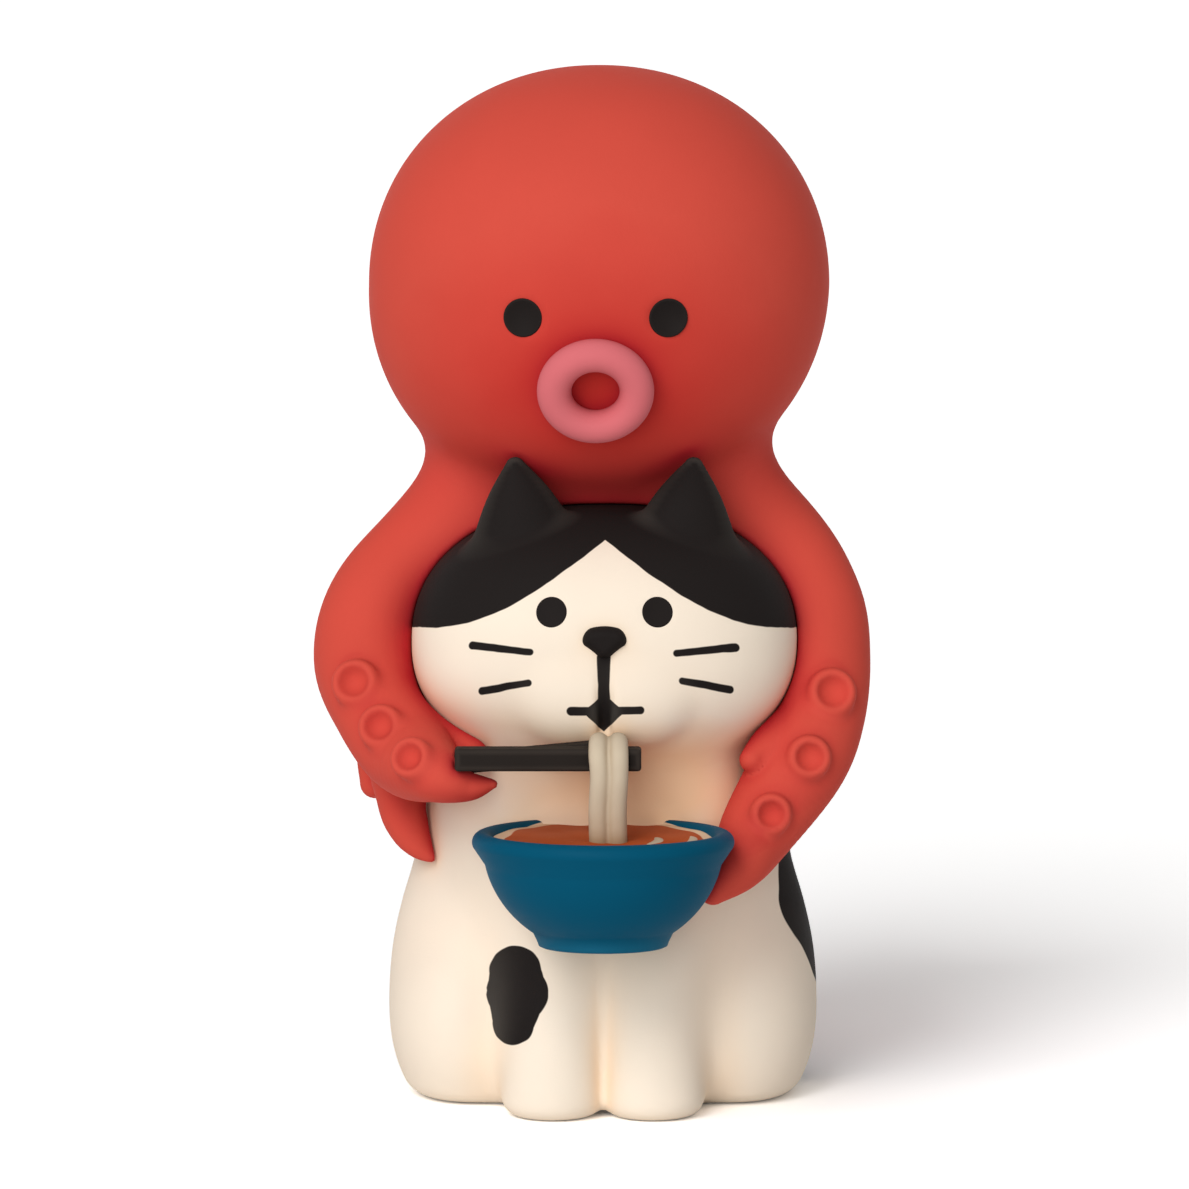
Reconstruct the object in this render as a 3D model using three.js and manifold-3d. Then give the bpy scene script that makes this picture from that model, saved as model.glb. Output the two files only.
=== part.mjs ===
// Cat and octopus figurine: a seated cat wears an octopus, which lifts noodles to the cat's mouth.
// Millimetres, +Z up. The figure faces -Y and the origin is on the table under the cat.
import * as THREE from "three";
import { mergeVertices } from "three/addons/utils/BufferGeometryUtils.js";
import Module from "manifold-3d";

const wasm = await Module();
wasm.setup();

// Fits between the castings.
const glueGap = 0.3;
const seatPress = 0.5;
const dowelPlay = 0.2;
const tableSink = 1;

// Cat body: half-width, front and back of the torso at four levels.
const bodyHeight = 28;
const bellyHeight = 10.5;
const chestHeight = 18.5;
const baseHalfWidth = 13.2;
const bellyHalfWidth = 16.4;
const chestHalfWidth = 14.8;
const seatHalfWidth = 10.8;
const baseFront = 9.2;
const bellyFront = 10.6;
const chestFront = 10.8;
const seatFront = 8.8;
const baseBack = 12;
const bellyBack = 13.4;
const chestBack = 11.6;
const seatBack = 8.6;

// Front legs and haunches.
const legSpacing = 7.8;
const legTopRadius = 3.3;
const footRadius = 4;
const footForward = 11.3;
const footCentreHeight = 2.4;
const legTopHeight = 17;
const haunchSpacing = 21.4;
const haunchHalfWidth = 6.1;
const haunchHalfDepth = 8.6;
const haunchHalfHeight = 8.6;
const haunchHeight = 6.2;
const haunchForward = 1.5;

// Cat tail, whose path is in shares of the belly's half-width and back.
const tailRadius = 2;
const tailTipRadius = 1.4;
const tailHeight = 2.6;
const tailPath = [
  [0, 0.96],
  [0.45, 0.98],
  [0.8, 0.62],
  [0.93, 0.25],
];

// Cat head.
const headHalfWidth = 14.9;
const headHalfDepth = 11;
const headAbove = 10.6;
const headBelow = 9.7;
const headSquareness = 2.15;
const headForward = 4.5;
const headSide = 0.1;
const headOverSeat = 7.8;
const earSpacing = 13.6;
const earHeight = 14.8;
const earRootHeight = 6.5;
const earRootHalfWidth = 5.2;
const earRootHalfDepth = 3.2;
const earBaseHeight = 10.7;
const earBaseHalfWidth = 3.3;
const earBaseHalfDepth = 2.1;
const earTipRadius = 0.9;
const earForward = 3.2;
const earLean = 0.7;
const muzzleHalfWidth = 5.4;
const muzzleHalfHeight = 3.7;
const muzzleHalfDepth = 3.2;
const muzzleDrop = 3.4;
const muzzleRise = 0.6;
const noseWidth = 3.3;
const noseHeight = 2.4;
const noseDepth = 1.5;
const noseOverCentre = 1.6;
const catEyeRadius = 1.2;
const catEyeSpacing = 8.1;
const catEyeOverCentre = 3.8;

// Inlaid eyes.
const eyeDepth = 1;
const eyeDish = 0.25;

// Octopus mantle and the hood that hangs from it behind the cat's head.
const mantleHalfWidth = 17.9;
const mantleHalfDepth = 16.3;
const mantleHalfHeight = 16.9;
const mantleSquareness = 2.08;
const mantleBack = 3;
const mantleSide = -0.3;
const hoodCollarHalfWidth = 13.6;
const hoodNeckHalfWidth = 13.6;
const hoodShoulderHalfWidth = 15.5;
const hoodHemHalfWidth = 11;
const hoodCollarHeight = 7.8;
const hoodNeckHeight = 1.8;
const hoodShoulderDrop = 8.6;
const hoodHemDrop = 20.4;
const hoodCollarFront = 5;
const hoodNeckFront = 3.6;
const hoodShoulderFront = 2;
const hoodHemFront = -3;
const hoodCollarBack = 14;
const hoodNeckBack = 13.4;
const hoodShoulderBack = 14.4;
const hoodHemBack = 12;

// Octopus face.
const mouthRadius = 4.4;
const mouthHoleRadius = 1.9;
const mouthRise = 2.3;
const mouthSeat = 1.4;
const mouthNeckRadius = 3.8;
const mouthUndercut = 0.35;
const mouthDrop = 6.2;
const octopusEyeRadius = 1.55;
const octopusEyeSpacing = 11.3;
const octopusEyeDrop = 0.9;

// Octopus arms.
const armRootRadius = 4.4;
const armShoulderRadius = 4.4;
const armCrookRadius = 3.6;
const armWristRadius = 2.9;
const armTipRadius = 1.2;
const neckArmRadius = 2.1;
const neckArmTipRadius = 1.3;
const sideArmRadius = 2.9;
const sideArmTipRadius = 1.6;
const rearArmRadius = 3.8;
const rearArmWristRadius = 2.7;
const rearArmTipRadius = 1.6;

// Stations of the arms: out from the side of the cat's head, forward of its centre, over its centre.
const armRootAt = [-7.4, -7.5, 14.2];
const armNeckAt = [-2.2, -7.1, 7];
const chopstickArmShoulderAt = [2, -5, 2.4];
const chopstickArmSideAt = [3.1, -2.6, -1.6];
const chopstickArmCrookAt = [2.4, 1.4, -4.9];
const chopstickArmForearmAt = [0.3, 5, -7.8];
const bowlArmShoulderAt = [1, -5, 2.4];
const bowlArmSideAt = [1.5, -2.6, -1.6];
const bowlArmCrookAt = [1.7, 1, -5.6];
const bowlArmForearmAt = [0.4, 3.4, -9];
const neckArmRootAt = [-0.6, -4, -4];
const neckArmBendAt = [-1.8, 3.2, -6.8];
const neckArmTipAt = [-4.8, 6.2, -7.8];
const sideArmRootAt = [-1.2, -8.5, 1.5];
const sideArmBendAt = [0.5, -6, -7.5];
const sideArmWristAt = [0.5, -2.3, -12.5];
const sideArmTipAt = [-0.5, 0.1, -15.4];
const rearArmRootAt = [-8.9, -15.5, 4.7];
const rearArmBendAt = [-5.9, -17, -3.3];
const rearArmWristAt = [-1.3, -15.4, -8.6];
const rearArmTipAt = [2.2, -10.7, -11.6];

// Where the ends of the front arms lie, from the left end of the chopsticks and from the rim of the bowl.
const stickWristOut = 1.5;
const stickWristDrop = 1.5;
const stickWristRadius = 2.3;
const stickTipIn = 1.9;
const stickTipDrop = 2.2;
const bowlWristDrop = 0.4;
const bowlWristTurn = 0.6;
const bowlWristOff = 5.2;
const bowlPalmDrop = 2.6;
const bowlPalmTurn = 0.44;
const bowlPalmOff = 2.6;
const bowlPalmRadius = 2;
const bowlTipDrop = 4.9;
const bowlTipTurn = 0.3;

// Suckers: share of the arm's length, turn from the outer side toward the viewer, size.
const chopstickArmSuckers = [
  { share: 0.55, turn: 1, size: 1 },
  { share: 0.67, turn: 1.1, size: 0.94 },
  { share: 0.78, turn: 1.1, size: 0.86 },
];
const bowlArmSuckers = [
  { share: 0.48, turn: 1.3, size: 1.08 },
  { share: 0.6, turn: 1.35, size: 1 },
  { share: 0.71, turn: 1.2, size: 0.94 },
];
const suckerRadius = 1.7;
const suckerRise = 0.55;
const suckerDimple = 0.85;
const suckerSeat = 1.2;

// Bowl and broth.
const bowlRadius = 10;
const bowlHeight = 8;
const bowlLip = 0.6;
const bowlLipStart = -0.5;
const bowlWallEnd = 1.35;
const bowlWall = 1.1;
const bowlFloorHeight = 1.9;
const bowlFootRadius = 5;
const bowlFootHeight = 0.7;
const bowlFootWidth = 0.9;
const bowlUnderside = -0.5;
const bowlOverTable = 14.5;
const bowlSink = 2;
const brothDepthBelowRim = 1.4;

// Noodles and chopsticks.
const noodleRadius = 0.76;
const noodleSpacing = 1.45;
const noodleSide = 0.4;
const noodlePinch = 0.8;
const noodleBite = 0.5;
const noodleSag = 0.25;
const nestInnerRadius = 3.5;
const nestTurns = 1.4;
const nestStart = -1.7;
const nestFloat = 0.2;
const mouthTipDrop = 5.1;
const stickSize = 1.75;
const stickChamfer = 0.2;
const frontStickLength = 14.2;
const rearStickLength = 13.2;
const stickLeftEnd = -11.3;
const stickRearRise = 0.3;

// Dowels.
const dowelRadius = 2;
const neckDowelLength = 12;
const neckDowelForward = 1;
const mantleDowelLength = 12;
const mantleDowelDrop = 2;

// Facets round each form and steps along it.
const limbSides = 12;
const strandSides = 8;
const bodySides = 24;
const latheSides = 24;
const eyeSides = 16;
const ballRowShare = 0.7;
const torsoSteps = 14;
const hoodSteps = 10;
const legSteps = 4;
const earSteps = 5;
const tailSteps = 7;
const chopstickArmSteps = 18;
const bowlArmSteps = 20;
const neckArmSteps = 8;
const sideArmSteps = 9;
const rearArmSteps = 10;
const strandSteps = 13;
const nestSteps = 22;
const lipSteps = 6;
const mouthSteps = 7;

const up = new THREE.Vector3(0, 0, 1);
const at = (x, y, z) => new THREE.Vector3(x, y, z);

// Places that follow from the sizes.
const headCentre = at(headSide, -headForward, bodyHeight + headOverSeat);
const headTop = headCentre.z + headAbove;
const mantleCentre = at(mantleSide, mantleBack, headTop + mantleHalfHeight - seatPress);
const bowlCentre = at(0, -(chestFront + bowlRadius - bowlSink), bowlOverTable);
const rimHeight = bowlOverTable + bowlHeight;
const brothHeight = rimHeight - brothDepthBelowRim;

// A solid from a closed geometry.
function toSolid(geometry) {
  const bare = new THREE.BufferGeometry();
  bare.setAttribute("position", geometry.getAttribute("position"));
  bare.setIndex(geometry.index);
  const merged = mergeVertices(bare, 1e-4);
  const vertProperties = merged.getAttribute("position").array;
  const triVerts = new Uint32Array(merged.index.array);
  return new wasm.Manifold(new wasm.Mesh({ numProp: 3, vertProperties, triVerts }));
}

function toGeometry(solid) {
  const mesh = solid.getMesh();
  const geometry = new THREE.BufferGeometry();
  geometry.setAttribute("position", new THREE.BufferAttribute(new Float32Array(mesh.vertProperties), 3));
  geometry.setIndex(new THREE.BufferAttribute(new Uint32Array(mesh.triVerts), 1));
  geometry.computeVertexNormals();
  return geometry;
}

function join(...solids) {
  return solids.reduce((whole, solid) => whole.add(solid));
}

// What the cutters leave of a casting. A sliver that they part from it is dropped.
function cut(solid, ...cutters) {
  const rest = cutters.reduce((left, cutter) => left.subtract(cutter), solid);
  return rest.decompose().reduce((most, body) => (body.volume() > most.volume() ? body : most));
}

// A closed skin through rings of points, with a fan of faces over each end.
function loft(rings) {
  const sides = rings[0].length;
  const last = (rings.length - 1) * sides;
  const middle = (ring) => ring.reduce((sum, p) => sum.add(p), at(0, 0, 0)).divideScalar(sides);
  const points = [...rings.flat(), middle(rings[0]), middle(rings.at(-1))];
  const faces = [];
  for (let j = 0; j < sides; j += 1) {
    const next = (j + 1) % sides;
    for (let row = 0; row < last; row += sides) {
      faces.push(row + j, row + next, row + sides + next);
      faces.push(row + j, row + sides + next, row + sides + j);
    }
    faces.push(points.length - 2, next, j);
    faces.push(points.length - 1, last + j, last + next);
  }
  const geometry = new THREE.BufferGeometry().setFromPoints(points);
  geometry.setIndex(faces);
  return toSolid(geometry);
}

// An oval ring round a centre, thick along one direction and wide along the other.
function ovalRing(centre, thickAxis, wideAxis, sides) {
  return Array.from({ length: sides }, (_, i) => {
    const angle = (2 * Math.PI * i) / sides;
    const spot = centre.clone().addScaledVector(thickAxis, Math.cos(angle));
    return spot.addScaledVector(wideAxis, Math.sin(angle));
  });
}

// A limb through stations of place, half-thickness and half-width, with rounded ends.
// The thickness of its section lies along outward(place).
function limb({ stations, outward, steps, sides = limbSides, grow = 0 }) {
  const curve = new THREE.CatmullRomCurve3(stations.map((s) => s.place), false, "catmullrom", 0.5);
  const girths = stations.map((s) => at(s.thick, s.wide ?? s.thick, 0));
  const girth = new THREE.CatmullRomCurve3(girths, false, "catmullrom", 0.5);
  const ring = (t, slide) => {
    const along = curve.getTangent(t);
    const out = outward(curve.getPoint(t));
    const thickWay = out.addScaledVector(along, -out.dot(along)).normalize();
    const wideWay = new THREE.Vector3().crossVectors(along, thickWay);
    const size = girth.getPoint(t);
    const shrink = Math.sqrt(1 - slide * slide);
    const tip = Math.min(size.x, size.y) + grow;
    const centre = curve.getPoint(t).addScaledVector(along, slide * tip);
    thickWay.multiplyScalar((size.x + grow) * shrink);
    wideWay.multiplyScalar((size.y + grow) * shrink);
    return ovalRing(centre, thickWay, wideWay, sides);
  };
  const endSlides = [0.5, 0.86, 0.985];
  const rings = endSlides.toReversed().map((slide) => ring(0, -slide));
  for (let i = 0; i <= steps; i += 1) {
    rings.push(ring(i / steps, 0));
  }
  rings.push(...endSlides.map((slide) => ring(1, slide)));
  return loft(rings);
}

// An upright form through levels of height, half-width, front and back.
function upright(levels, side, steps, grow = 0) {
  const widths = levels.map((l) => at(l.halfWidth, 0, l.height));
  const depths = levels.map((l) => at(l.front, l.back, l.height));
  const width = new THREE.CatmullRomCurve3(widths, false, "catmullrom", 0.5);
  const depth = new THREE.CatmullRomCurve3(depths, false, "catmullrom", 0.5);
  const rings = [];
  for (let i = 0; i <= steps; i += 1) {
    const w = width.getPoint(i / steps);
    const d = depth.getPoint(i / steps);
    const centre = at(side, (d.y - d.x) / 2, w.z);
    const thickWay = at(w.x + grow, 0, 0);
    const wideWay = at(0, (d.x + d.y) / 2 + grow, 0);
    rings.push(ovalRing(centre, thickWay, wideWay, bodySides));
  }
  return loft(rings);
}

// A ball with its own half-height over and under the centre. A power over 2 squares it off.
function ball({ centre, halfWidth, halfDepth, above, below, power, sides = bodySides }, grow = 0) {
  const geometry = new THREE.SphereGeometry(1, sides, Math.round(sides * ballRowShare)).rotateX(Math.PI / 2);
  const spots = geometry.getAttribute("position");
  for (let i = 0; i < spots.count; i += 1) {
    const spot = new THREE.Vector3().fromBufferAttribute(spots, i);
    const sum = Math.abs(spot.x) ** power + Math.abs(spot.y) ** power + Math.abs(spot.z) ** power;
    const high = spot.z > 0 ? above : below;
    spot.multiply(at(halfWidth + grow, halfDepth + grow, high + grow));
    spot.multiplyScalar(sum ** (-1 / power)).add(centre);
    spots.setXYZ(i, spot.x, spot.y, spot.z);
  }
  return toSolid(geometry);
}

// The place on the front of a ball at a given x and z, and the way it faces.
function frontOf({ centre, halfWidth, halfDepth, above, below, power }, x, z) {
  const high = z > centre.z ? above : below;
  const across = (x - centre.x) / halfWidth;
  const rise = (z - centre.z) / high;
  const inward = (1 - Math.abs(across) ** power - Math.abs(rise) ** power) ** (1 / power);
  const place = at(x, centre.y - inward * halfDepth, z);
  const slope = (share, size) => (Math.sign(share) * Math.abs(share) ** (power - 1)) / size;
  const facing = at(slope(across, halfWidth), slope(-inward, halfDepth), slope(rise, high)).normalize();
  return { place, facing };
}

// A turned form whose axis stands on a spot and points the way the spot faces.
function turned(profile, { place, facing }, sides = latheSides) {
  const turn = new THREE.Quaternion().setFromUnitVectors(at(0, 1, 0), facing);
  const geometry = new THREE.LatheGeometry(profile, sides);
  geometry.applyQuaternion(turn).translate(place.x, place.y, place.z);
  return toSolid(geometry);
}

const flat = (radius, height) => new THREE.Vector2(radius, height);

// A plain pin or hole from one height to another.
function pin(radius, low, high, spot, sides = limbSides) {
  const profile = [flat(0, low), flat(radius, low), flat(radius, high), flat(0, high)];
  return turned(profile, spot, sides);
}

// A block that takes away everything under a height.
function under(height) {
  const size = 200;
  return toSolid(new THREE.BoxGeometry(size, size, size).translate(0, 0, height - size / 2));
}

// Points along a quarter of an ellipse whose rim is at (radius, top) and whose bottom is on the axis.
function quarter(radius, depth, top, from, to, count) {
  return Array.from({ length: count }, (_, i) => {
    const angle = from + ((to - from) * i) / (count - 1);
    return flat(radius * Math.sin(angle), top - depth * Math.cos(angle));
  });
}

// Cat body.
function torso(grow = 0) {
  const levels = [
    { height: -tableSink, halfWidth: baseHalfWidth, front: baseFront, back: baseBack },
    { height: bellyHeight, halfWidth: bellyHalfWidth, front: bellyFront, back: bellyBack },
    { height: chestHeight, halfWidth: chestHalfWidth, front: chestFront, back: chestBack },
    { height: bodyHeight + grow, halfWidth: seatHalfWidth, front: seatFront, back: seatBack },
  ];
  return upright(levels, 0, torsoSteps, grow);
}

function leg(side, grow = 0) {
  const stations = [
    { place: at((side * legSpacing) / 2, legTopRadius - chestFront, legTopHeight), thick: legTopRadius },
    { place: at((side * legSpacing) / 2, -footForward, footCentreHeight), thick: footRadius },
  ];
  return limb({ stations, outward: () => at(1, 0, 0), steps: legSteps, grow });
}

function haunch(side, grow = 0) {
  const form = {
    centre: at((side * haunchSpacing) / 2, -haunchForward, haunchHeight),
    halfWidth: haunchHalfWidth,
    halfDepth: haunchHalfDepth,
    above: haunchHalfHeight,
    below: haunchHalfHeight,
    power: 2,
    sides: limbSides,
  };
  return ball(form, grow);
}

const bodyForm = (grow = 0) =>
  join(torso(grow), leg(-1, grow), leg(1, grow), haunch(-1, grow), haunch(1, grow));
const neckSpot = { place: at(0, -neckDowelForward, bodyHeight), facing: up };
const dowel = (length, spot, grow) => pin(dowelRadius + grow, -length / 2 - grow, length / 2 + grow, spot);
const neckPin = (grow = 0) => dowel(neckDowelLength, neckSpot, grow);
const catBody = cut(bodyForm(), under(0), neckPin(dowelPlay));

// Cat head.
const headBall = {
  centre: headCentre,
  halfWidth: headHalfWidth,
  halfDepth: headHalfDepth,
  above: headAbove,
  below: headBelow,
  power: headSquareness,
};

function ear(side, grow = 0) {
  const x = headCentre.x + (side * earSpacing) / 2;
  const y = headCentre.y - earForward;
  const level = (over, lean) => at(x, y + lean, headCentre.z + over);
  const stations = [
    { place: level(earRootHeight, earLean), thick: earRootHalfWidth, wide: earRootHalfDepth },
    { place: level(earBaseHeight, 0), thick: earBaseHalfWidth, wide: earBaseHalfDepth },
    { place: level(earHeight - earTipRadius, 0), thick: earTipRadius },
  ];
  return limb({ stations, outward: () => at(1, 0, 0), steps: earSteps, grow });
}

function muzzle(grow = 0) {
  const front = frontOf(headBall, headCentre.x, headCentre.z - muzzleDrop).place;
  const form = {
    centre: front.clone().add(at(0, muzzleHalfDepth - muzzleRise, 0)),
    halfWidth: muzzleHalfWidth,
    halfDepth: muzzleHalfDepth,
    above: muzzleHalfHeight,
    below: muzzleHalfHeight,
    power: 2,
    sides: limbSides,
  };
  return ball(form, grow);
}

// An eye with a dished face level with the skin, and the open seat that it lies in.
function eye(radius, spot) {
  const profile = [flat(0, -eyeDepth), flat(radius, -eyeDepth), flat(radius, 0), flat(0, -eyeDish)];
  return turned(profile, spot, eyeSides);
}

function eyeSeat(radius, spot) {
  return pin(radius + glueGap, -eyeDepth - glueGap, eyeDepth, spot, eyeSides);
}

const catEyeSpot = (side) =>
  frontOf(headBall, headCentre.x + (side * catEyeSpacing) / 2, headCentre.z + catEyeOverCentre);
const noseSpot = frontOf(headBall, headCentre.x, headCentre.z + noseOverCentre);

// A rounded triangle, point down, half sunk in the face.
function nose(grow = 0) {
  const half = noseWidth / 2 + grow;
  const top = noseHeight / 2 + grow;
  const outline = new THREE.Shape();
  outline.moveTo(0, top * 0.9);
  outline.bezierCurveTo(half * 0.6, top * 1.05, half * 1.1, top * 0.9, half, top * 0.35);
  outline.bezierCurveTo(half * 0.9, -top * 0.2, half * 0.45, -top, 0, -top);
  outline.bezierCurveTo(-half * 0.45, -top, -half * 0.9, -top * 0.2, -half, top * 0.35);
  outline.bezierCurveTo(-half * 1.1, top * 0.9, -half * 0.6, top * 1.05, 0, top * 0.9);
  const bevel = noseDepth / 4;
  const options = {
    depth: noseDepth - bevel + grow,
    bevelEnabled: true,
    bevelThickness: bevel,
    bevelSize: bevel,
    bevelOffset: -bevel,
    bevelSegments: 1,
    curveSegments: 4,
  };
  const geometry = new THREE.ExtrudeGeometry(outline, options);
  geometry.translate(0, 0, -noseDepth / 2 - grow).rotateX(Math.PI / 2);
  geometry.translate(noseSpot.place.x, noseSpot.place.y, noseSpot.place.z);
  return toSolid(geometry);
}

const headForm = (grow = 0) => join(ball(headBall, grow), ear(-1, grow), ear(1, grow), muzzle(grow));
const crownSpot = { place: at(0, mantleBack, headTop - mantleDowelDrop), facing: up };
const crownPin = (grow = 0) => dowel(mantleDowelLength, crownSpot, grow);
const catHead = cut(
  headForm(),
  under(bodyHeight + glueGap),
  neckPin(dowelPlay),
  crownPin(dowelPlay),
  eyeSeat(catEyeRadius, catEyeSpot(-1)),
  eyeSeat(catEyeRadius, catEyeSpot(1)),
  nose(glueGap),
);

// Cat tail, round the back of the right haunch.
const tailStations = tailPath.map(([aside, behind], i) => {
  const place = at(aside * bellyHalfWidth, behind * bellyBack, tailHeight);
  return { place, thick: i < tailPath.length - 1 ? tailRadius : tailTipRadius };
});
const tailLimb = limb({ stations: tailStations, outward: () => up.clone(), steps: tailSteps });
const catTail = cut(tailLimb, bodyForm(glueGap));

// Octopus mantle, a ball over a hood.
const mantleBall = {
  centre: mantleCentre,
  halfWidth: mantleHalfWidth,
  halfDepth: mantleHalfDepth,
  above: mantleHalfHeight,
  below: mantleHalfHeight,
  power: mantleSquareness,
};

function hood(grow = 0) {
  const level = (over, halfWidth, front, back) => ({ height: headTop + over, halfWidth, front, back });
  const levels = [
    level(-hoodHemDrop - grow, hoodHemHalfWidth, hoodHemFront, hoodHemBack),
    level(-hoodShoulderDrop, hoodShoulderHalfWidth, hoodShoulderFront, hoodShoulderBack),
    level(hoodNeckHeight, hoodNeckHalfWidth, hoodNeckFront, hoodNeckBack),
    level(hoodCollarHeight, hoodCollarHalfWidth, hoodCollarFront, hoodCollarBack),
  ];
  return upright(levels, mantleSide, hoodSteps, grow);
}

const mantleForm = (grow = 0) => join(ball(mantleBall, grow), hood(grow));
const octopusEyeSpot = (side) =>
  frontOf(mantleBall, mantleCentre.x + (side * octopusEyeSpacing) / 2, mantleCentre.z - octopusEyeDrop);
const mouthSpot = frontOf(mantleBall, mantleCentre.x, mantleCentre.z - mouthDrop);

// A ring with a round lip on a plain collar.
function mouthRing(grow = 0) {
  const lip = (mouthRadius - mouthHoleRadius) / 2;
  const middle = mouthHoleRadius + lip;
  const arc = Array.from({ length: mouthSteps + 1 }, (_, i) => {
    const share = i / mouthSteps;
    const angle = Math.PI * share - mouthUndercut * (1 - share);
    return flat(middle + (lip + grow) * Math.cos(angle), mouthRise - lip + (lip + grow) * Math.sin(angle));
  });
  const inner = flat(mouthHoleRadius - grow, -mouthSeat - grow);
  const outer = flat(mouthNeckRadius + grow, -mouthSeat - grow);
  return turned([inner, outer, ...arc, inner], mouthSpot);
}

const octopusMantle = cut(
  mantleForm(),
  headForm(glueGap),
  bodyForm(glueGap),
  crownPin(dowelPlay),
  eyeSeat(octopusEyeRadius, octopusEyeSpot(-1)),
  eyeSeat(octopusEyeRadius, octopusEyeSpot(1)),
  mouthRing(glueGap),
);

// Bowl, broth and noodles.
const bowlSpot = { place: bowlCentre, facing: up };
const wallRadius = bowlRadius - bowlLip;
const cavityRadius = wallRadius - bowlWall;
const cavityDepth = bowlHeight - bowlFloorHeight;

function bowlForm(grow = 0) {
  const wall = wallRadius + grow;
  const deep = bowlHeight - bowlUnderside + grow;
  const foot = bowlFootRadius + grow;
  const outside = quarter(wall, deep, bowlHeight, Math.asin(foot / wall), bowlWallEnd, 6);
  const lip = Array.from({ length: lipSteps + 1 }, (_, i) => {
    const angle = bowlLipStart + (Math.PI - bowlLipStart) * (i / lipSteps);
    const reach = bowlLip + grow;
    return flat(wallRadius + reach * Math.cos(angle), bowlHeight + reach * Math.sin(angle));
  });
  const inside = quarter(cavityRadius - grow, cavityDepth - grow, bowlHeight, bowlWallEnd, 0, 6);
  const footing = [
    flat(0, bowlFootHeight - grow),
    flat(bowlFootRadius - bowlFootWidth - grow, bowlFootHeight - grow),
    flat(bowlFootRadius - bowlFootWidth - grow, -grow),
    flat(foot, -grow),
  ];
  return turned([...footing, ...outside, ...lip, ...inside], bowlSpot);
}

const bowl = cut(bowlForm(), bodyForm(glueGap));
const brothTop = brothHeight - bowlOverTable;
const brothAngle = Math.acos((bowlHeight - brothTop) / cavityDepth);
const brothSide = quarter(cavityRadius - glueGap, cavityDepth - glueGap, bowlHeight, 0, brothAngle, 7);
const broth = cut(turned([...brothSide, flat(0, brothSide.at(-1).y)], bowlSpot), bodyForm(glueGap));

// Chopsticks, side by side, in front of the chest and under the chin.
const mouthTip = frontOf(headBall, headCentre.x, headCentre.z - mouthTipDrop).place;
const stickHeight = mouthTip.z - noodleRadius - glueGap - stickSize / 2;
const rearStickForward = muzzleRise - mouthTip.y + glueGap + stickSize / 2;
const frontStickForward = rearStickForward + stickSize + glueGap;

function stick(length, forward, rise, grow = 0) {
  const half = stickSize / 2 + grow;
  const edge = half - stickChamfer;
  const corners = [
    [half, -edge],
    [half, edge],
    [edge, half],
    [-edge, half],
    [-half, edge],
    [-half, -edge],
    [-edge, -half],
    [edge, -half],
  ];
  const end = (x, lift) => corners.map(([y, z]) => at(x, y - forward, stickHeight + lift + z));
  return loft([end(stickLeftEnd - grow, 0), end(stickLeftEnd + length + grow, rise)]);
}

const frontStick = (grow = 0) => stick(frontStickLength, frontStickForward, 0, grow);
const rearStick = (grow = 0) => stick(rearStickLength, rearStickForward, stickRearRise, grow);

// Two strands that leave the mouth, hang over the chopsticks and fall into the bowl.
function strand(side, grow = 0) {
  const x = noodleSide + (side * noodleSpacing) / 2;
  const over = stickHeight + (stickSize + noodleRadius) / 2;
  const front = -frontStickForward - stickSize / 2 - noodleRadius;
  const places = [
    at(noodleSide + (x - noodleSide) * noodlePinch, mouthTip.y + noodleBite, mouthTip.z + noodleBite),
    at(x, -rearStickForward, over),
    at(x, front + noodleRadius, over - noodleSag),
    at(x, front - noodleSag, stickHeight),
    at(x, front, (stickHeight + brothHeight) / 2),
    at(x, front + noodleSag, brothHeight),
  ];
  const stations = places.map((place) => ({ place, thick: noodleRadius }));
  return limb({ stations, outward: () => at(1, 0, 0), steps: strandSteps, sides: strandSides, grow });
}

const strands = (grow = 0) => [strand(-1, grow), strand(1, grow)];
const noodleLift = cut(
  join(...strands()),
  headForm(glueGap),
  frontStick(glueGap),
  rearStick(glueGap),
  under(brothHeight + glueGap),
  bodyForm(glueGap),
  bowlForm(glueGap),
);

// A coil of noodle that lies on the broth.
const nestOuterRadius = cavityRadius - noodleRadius - glueGap;
const nestPoints = 14;
const nestStations = Array.from({ length: nestPoints + 1 }, (_, i) => {
  const share = i / nestPoints;
  const radius = nestInnerRadius + (nestOuterRadius - nestInnerRadius) * share;
  const angle = nestStart + 2 * Math.PI * nestTurns * share;
  const aside = bowlCentre.x + radius * Math.cos(angle);
  const place = at(aside, bowlCentre.y + radius * Math.sin(angle), brothHeight + nestFloat);
  return { place, thick: noodleRadius };
});
const nestLimb = limb({
  stations: nestStations,
  outward: () => up.clone(),
  steps: nestSteps,
  sides: strandSides,
});
const noodleNest = cut(nestLimb, under(brothHeight + glueGap), bodyForm(glueGap), ...strands(glueGap));

// Octopus arms, whose sections lie thick side outward from the cat's head.
const armOut = (place) => at(place.x, place.y - headCentre.y, 0).normalize();
const besideHead = (side, [out, forward, over]) =>
  at(side * (headHalfWidth + out), headCentre.y - forward, headCentre.z + over);
const station = (side, offsets, thick) => ({ place: besideHead(side, offsets), thick });

// A station at the back of the chopsticks, in from their left end and under their middle.
const besideStick = (inward, drop, thick) => {
  const place = at(stickLeftEnd + inward, thick - frontStickForward, stickHeight - drop);
  return { place, thick };
};

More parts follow.
